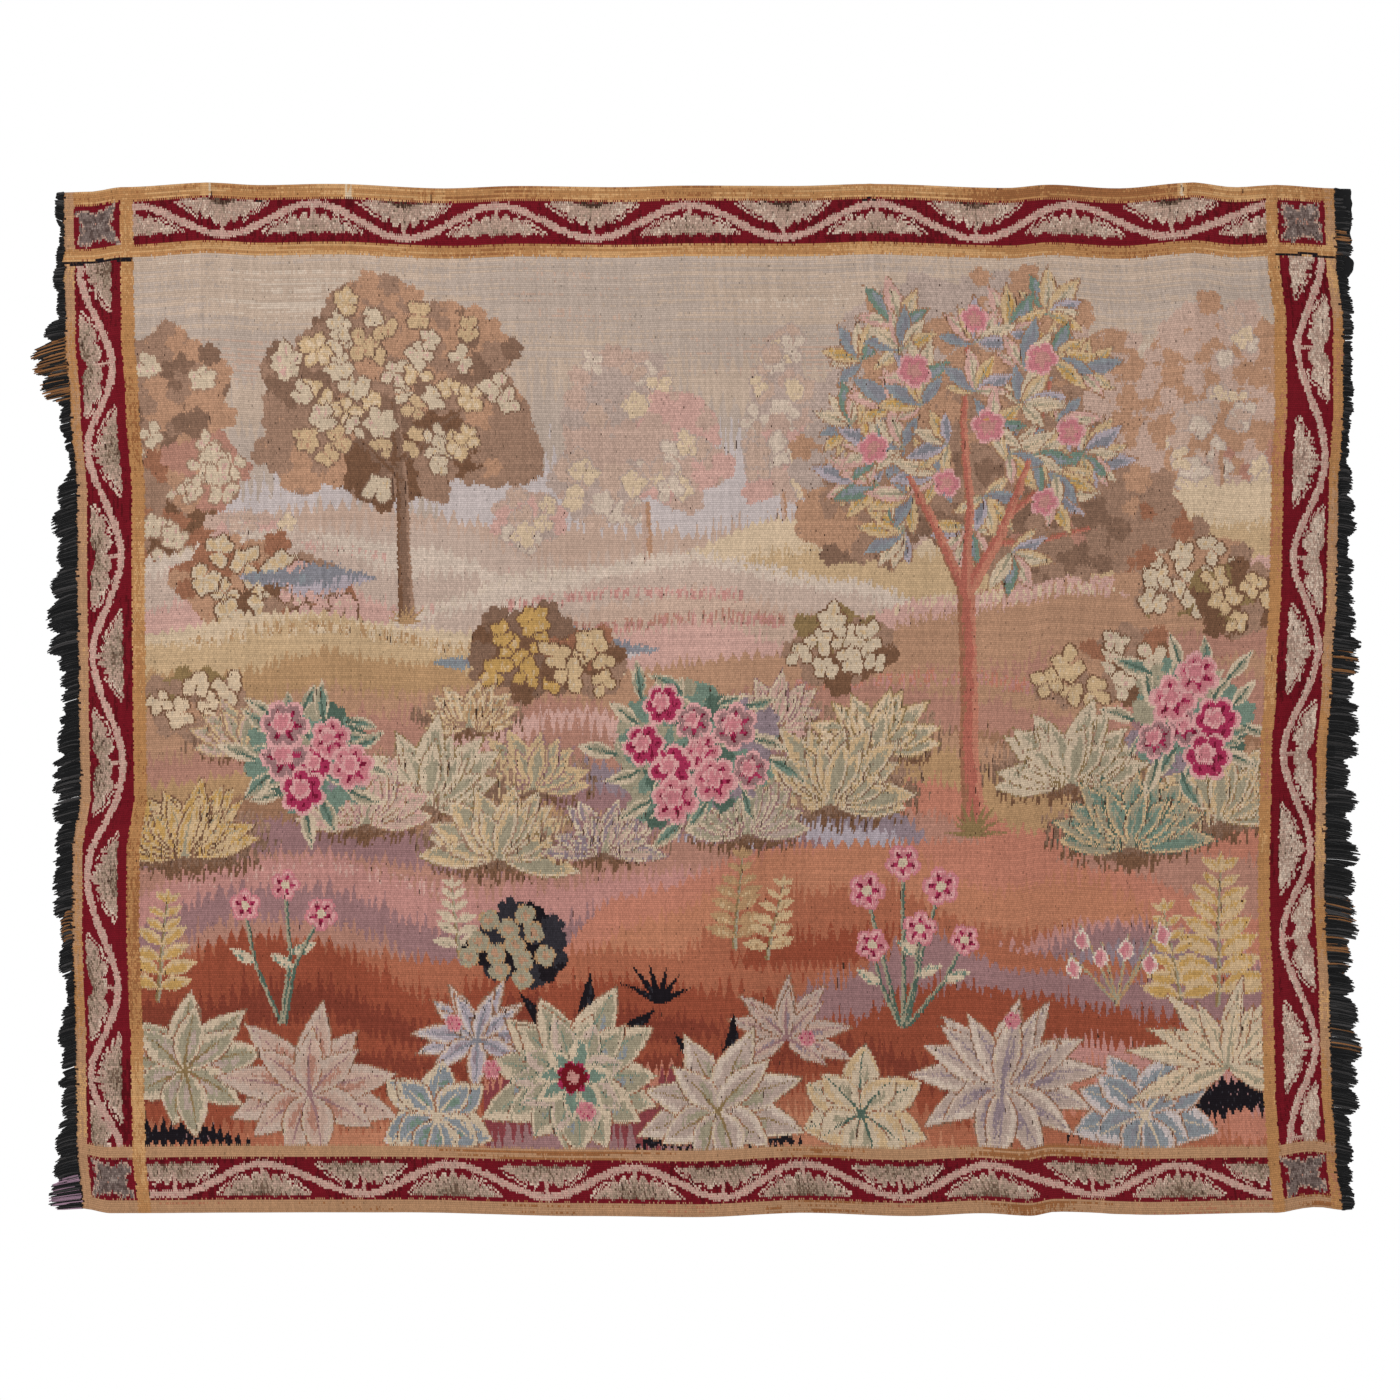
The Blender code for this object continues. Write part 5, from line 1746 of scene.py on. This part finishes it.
def web_material(name, art, step, look):
    """Weft-faced wool: ribs over the warps with painted shade in the grooves between them, single stitches,
    flecked yarn and slow fading.
    """
    shader = Shader(name, WOOL_ROUGHNESS, look.sheen)
    uv = shader.node("UVMap", {"uv_map": "Web"}, {})
    across = shader.node("SeparateXYZ", {}, {0: uv}, "X")
    depth = shader.node("SeparateXYZ", {}, {0: uv}, "Y")
    passes = across / art.pass_pitch
    warps = depth / art.row_pitch
    second = (passes / step).floor() % 2.0
    left, right = shader.attribute("yarn_left", "Color"), shader.attribute("yarn_right", "Color")
    colour = shader.blend(second, left, right)
    fleck_left, fleck_right = shader.attribute("yarn_left", "Alpha"), shader.attribute("yarn_right", "Alpha")
    fleck = fleck_left + second * (fleck_right - fleck_left)
    stitch = shader.chance(shader.place(passes.floor(), warps.floor()))
    dark = shader.chance(shader.place(passes.floor(), warps.floor(), 7.0))
    column = shader.chance(shader.place((passes * 0.5).floor(), 3.0))
    row = shader.chance(shader.place(5.0, warps.floor()))
    streak = shader.noise(shader.place(across * 5.0, depth * 300.0), 1.0)
    upright = shader.noise(shader.place(across * 320.0, depth * 14.0), 1.0)
    fade = shader.noise(shader.place(across * 2.6, depth * 3.1), 1.0, 3.0)
    blot = shader.noise(shader.place(across * 9.0, depth * 11.0, 4.0), 1.0, 4.0)
    rib = abs((warps * math.pi).sine())
    turn = abs(((passes + warps.floor()) * (math.pi / 2)).sine())
    height = rib**0.7 * (0.55 + 0.45 * turn)
    tone = 1.0 + (stitch - 0.5) * (0.06 + look.fleck * fleck)
    tone = tone * (1.0 - 0.45 * (dark > 1.0 - look.dark_stitches * fleck * fleck))
    tone = tone * (1.0 + look.column * (column - 0.5) + look.row * (row - 0.5))
    tone = tone * (1.0 + look.streak * (streak - 0.5) + look.streak * (upright - 0.5))
    tone = tone * (1.0 + look.fade * (fade - 0.5) + look.blot * (blot - 0.5))
    # Painted shade: darker in the grooves between the ribs
    tone = tone * (1.0 - look.hollow * (1.0 - height))
    dusty = shader.blend(look.dust * blot, colour, DUST)
    shader.feed(shader.surface.inputs["Base Color"], shader.scale(dusty, tone * look.strength))
    fibre = shader.noise(shader.place(across * 1500.0, depth * 2600.0), 1.0, 1.0)
    shader.bump(height + 0.35 * fibre + 0.25 * stitch, 0.55, 0.0007)
    return shader.material


# How strongly each unevenness of the wool, and the painted shade in the grooves between its ribs, shows on a
# woven face
Look = namedtuple("Look", "fleck dark_stitches column row streak fade blot hollow dust sheen strength")
FRONT_LOOK = Look(0.5, 0.025, 0.09, 0.11, 0.27, 0.17, 0.15, 0.31, 0.012, 0.01, 0.985)
BACK_LOOK = Look(0.36, 0.08, 0.06, 0.07, 0.12, 0.05, 0.05, 0.24, 0.0, 0.03, 0.94)


class TapestryWeave(bpy.types.PropertyGroup):
    """How the cloth is woven."""

    tooth: bpy.props.FloatProperty(
        name="Comb tooth", description="How far colours interlock", default=0.0013, unit="LENGTH"
    )
    seed: bpy.props.IntProperty(name="Seed", description="Start of the cartoon's random draws", default=7)
    strips: bpy.props.IntProperty(name="Strips", description="Strips that the front is made in", default=5)
    tails: bpy.props.IntProperty(name="Tails", description="Loose weft ends behind the cloth", default=900)


class TapestryFringe(bpy.types.PropertyGroup):
    """How the pile fringe is made."""

    per_lock: bpy.props.IntProperty(name="Strands", description="Strands in a middling lock", default=56)
    half_width: bpy.props.FloatProperty(
        name="Half width", description="Half a strand's thickness at its root", default=0.00138, unit="LENGTH"
    )


class TapestryStage(bpy.types.PropertyGroup):
    """The floor, the light and the camera."""

    floor_drop: bpy.props.FloatProperty(
        name="Floor drop", description="Depth of the floor below the top edge", default=2.0, unit="LENGTH"
    )
    world: bpy.props.FloatProperty(name="World light", description="Strength of the even light", default=1.0)
    key: bpy.props.FloatProperty(name="Key light", description="Power of the large soft light", default=52.0)
    view_distance: bpy.props.FloatProperty(
        name="View distance", description="Camera's distance in front of the wall", default=4.5, unit="LENGTH"
    )
    view_width: bpy.props.FloatProperty(
        name="View width", description="Width that the camera sees", default=1.7024, unit="LENGTH"
    )


class TAPESTRY_OT_fringe(bpy.types.Operator):
    """Make the pile fringe down both sides, and its folded end"""

    bl_idname = "tapestry.fringe"
    bl_label = "Make Fringe"

    def execute(self, context):
        settings = context.scene.tapestry_fringe
        material = yarn_material("pile wool", PILE_ROUGHNESS, PILE_SHEEN)
        for side in ("left", "right"):
            make_fringe(side, settings.per_lock, settings.half_width, material)
        make_flap(material)
        return {"FINISHED"}


class TAPESTRY_OT_cloth(bpy.types.Operator):
    """Weave the cloth: its front, its back and the web between them"""

    bl_idname = "tapestry.cloth"
    bl_label = "Weave Cloth"

    def execute(self, context):
        settings = context.scene.tapestry_weave
        art = make_cartoon(settings.tooth, settings.seed)
        front = web_material("woven wool front", art, 1, FRONT_LOOK)
        back = web_material("woven wool back", art, BACK_CELLS, BACK_LOOK)
        plain = yarn_material("selvedge wool", WOOL_ROUGHNESS, SELVEDGE_SHEEN)
        rows = art.rows // settings.strips
        for k in range(settings.strips):
            name = f"front_strip_{k + 1}"
            make_faces(name, art, k * rows, (k + 1) * rows, 1, THICKNESS, 1.0, front)
        half = art.rows // 2
        for k in range(2):
            name = f"back_strip_{k + 1}"
            make_faces(name, art, k * half, (k + 1) * half, BACK_CELLS, 0.0, BACK_RELIEF, back)
        make_tails(art, settings.tails, plain)
        web = make_web(plain)
        return {"FINISHED"}


# The stage: a plain floor, one large soft light from the upper left, and a camera square on to the cloth
FLOOR_SIZE = (4.0, 3.0)
FLOOR_PAINT = (0.8, 0.79, 0.77, 1.0)
FLOOR_ROUGHNESS = 0.7
KEY_PLACE = (-2.6, -2.4, 1.5)
KEY_AIM = (0.0, 0.0, -0.62)
KEY_SIZE = 1.6
VIEW_X = -0.0012
VIEW_Z = -0.6239
SENSOR_WIDTH = 36.0


class TAPESTRY_OT_stage(bpy.types.Operator):
    """Set up the floor, the light and the camera"""

    bl_idname = "tapestry.stage"
    bl_label = "Set Stage"

    def execute(self, context):
        settings = context.scene.tapestry_stage
        scene = context.scene
        scene.view_settings.view_transform = "Standard"
        mesh, u, v = grid_mesh("floor", 1, 1)
        wide, deep = FLOOR_SIZE
        level = np.full(len(u), -settings.floor_drop)
        corners = np.column_stack(((u - 0.5) * wide, -(v - 0.5) * deep, level))
        mesh.vertices.foreach_set("co", corners.ravel())
        paint = bpy.data.materials.new("floor paint")
        paint.use_nodes = True
        surface = paint.node_tree.nodes["Principled BSDF"]
        surface.inputs["Base Color"].default_value = FLOOR_PAINT
        surface.inputs["Roughness"].default_value = FLOOR_ROUGHNESS
        mesh.materials.append(paint)
        floor = new_object("floor", mesh)
        world = bpy.data.worlds.new("soft light")
        world.use_nodes = True
        sky = world.node_tree.nodes["Background"]
        sky.inputs["Color"].default_value = (1.0, 1.0, 1.0, 1.0)
        sky.inputs["Strength"].default_value = settings.world
        scene.world = world
        light = bpy.data.lights.new("key", "AREA")
        light.energy = settings.key
        light.size = KEY_SIZE
        lamp = new_object("key", light)
        lamp.location = KEY_PLACE
        aim = Vector(KEY_AIM) - lamp.location
        lamp.rotation_euler = aim.to_track_quat("-Z", "Y").to_euler()
        data = bpy.data.cameras.new("camera")
        data.sensor_width = SENSOR_WIDTH
        data.lens = SENSOR_WIDTH * settings.view_distance / settings.view_width
        camera = new_object("camera", data)
        camera.location = (VIEW_X, -settings.view_distance, VIEW_Z)
        camera.rotation_euler = (math.pi / 2, 0.0, 0.0)
        scene.camera = camera
        return {"FINISHED"}


class TAPESTRY_PT_panel(bpy.types.Panel):
    """The tapestry's settings and steps"""

    bl_idname = "TAPESTRY_PT_panel"
    bl_label = "Tapestry"
    bl_space_type = "VIEW_3D"
    bl_region_type = "UI"
    bl_category = "Tapestry"

    def draw(self, context):
        scene = context.scene
        for settings, step in (
            (scene.tapestry_fringe, "tapestry.fringe"),
            (scene.tapestry_weave, "tapestry.cloth"),
            (scene.tapestry_stage, "tapestry.stage"),
        ):
            box = self.layout.box()
            for name in settings.__annotations__:
                box.prop(settings, name)
            box.operator(step)


CLASSES = (
    TapestryWeave,
    TapestryFringe,
    TapestryStage,
    TAPESTRY_OT_fringe,
    TAPESTRY_OT_cloth,
    TAPESTRY_OT_stage,
    TAPESTRY_PT_panel,
)


def register():
    for cls in CLASSES:
        bpy.utils.register_class(cls)
    bpy.types.Scene.tapestry_weave = bpy.props.PointerProperty(type=TapestryWeave)
    bpy.types.Scene.tapestry_fringe = bpy.props.PointerProperty(type=TapestryFringe)
    bpy.types.Scene.tapestry_stage = bpy.props.PointerProperty(type=TapestryStage)


def unregister():
    del bpy.types.Scene.tapestry_stage
    del bpy.types.Scene.tapestry_fringe
    del bpy.types.Scene.tapestry_weave
    for cls in reversed(CLASSES):
        bpy.utils.unregister_class(cls)


def main():
    """Makes every piece and the stage."""
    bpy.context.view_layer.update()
    register()
    bpy.ops.tapestry.fringe()
    bpy.ops.tapestry.cloth()
    bpy.ops.tapestry.stage()


if __name__ == "__main__":
    main()
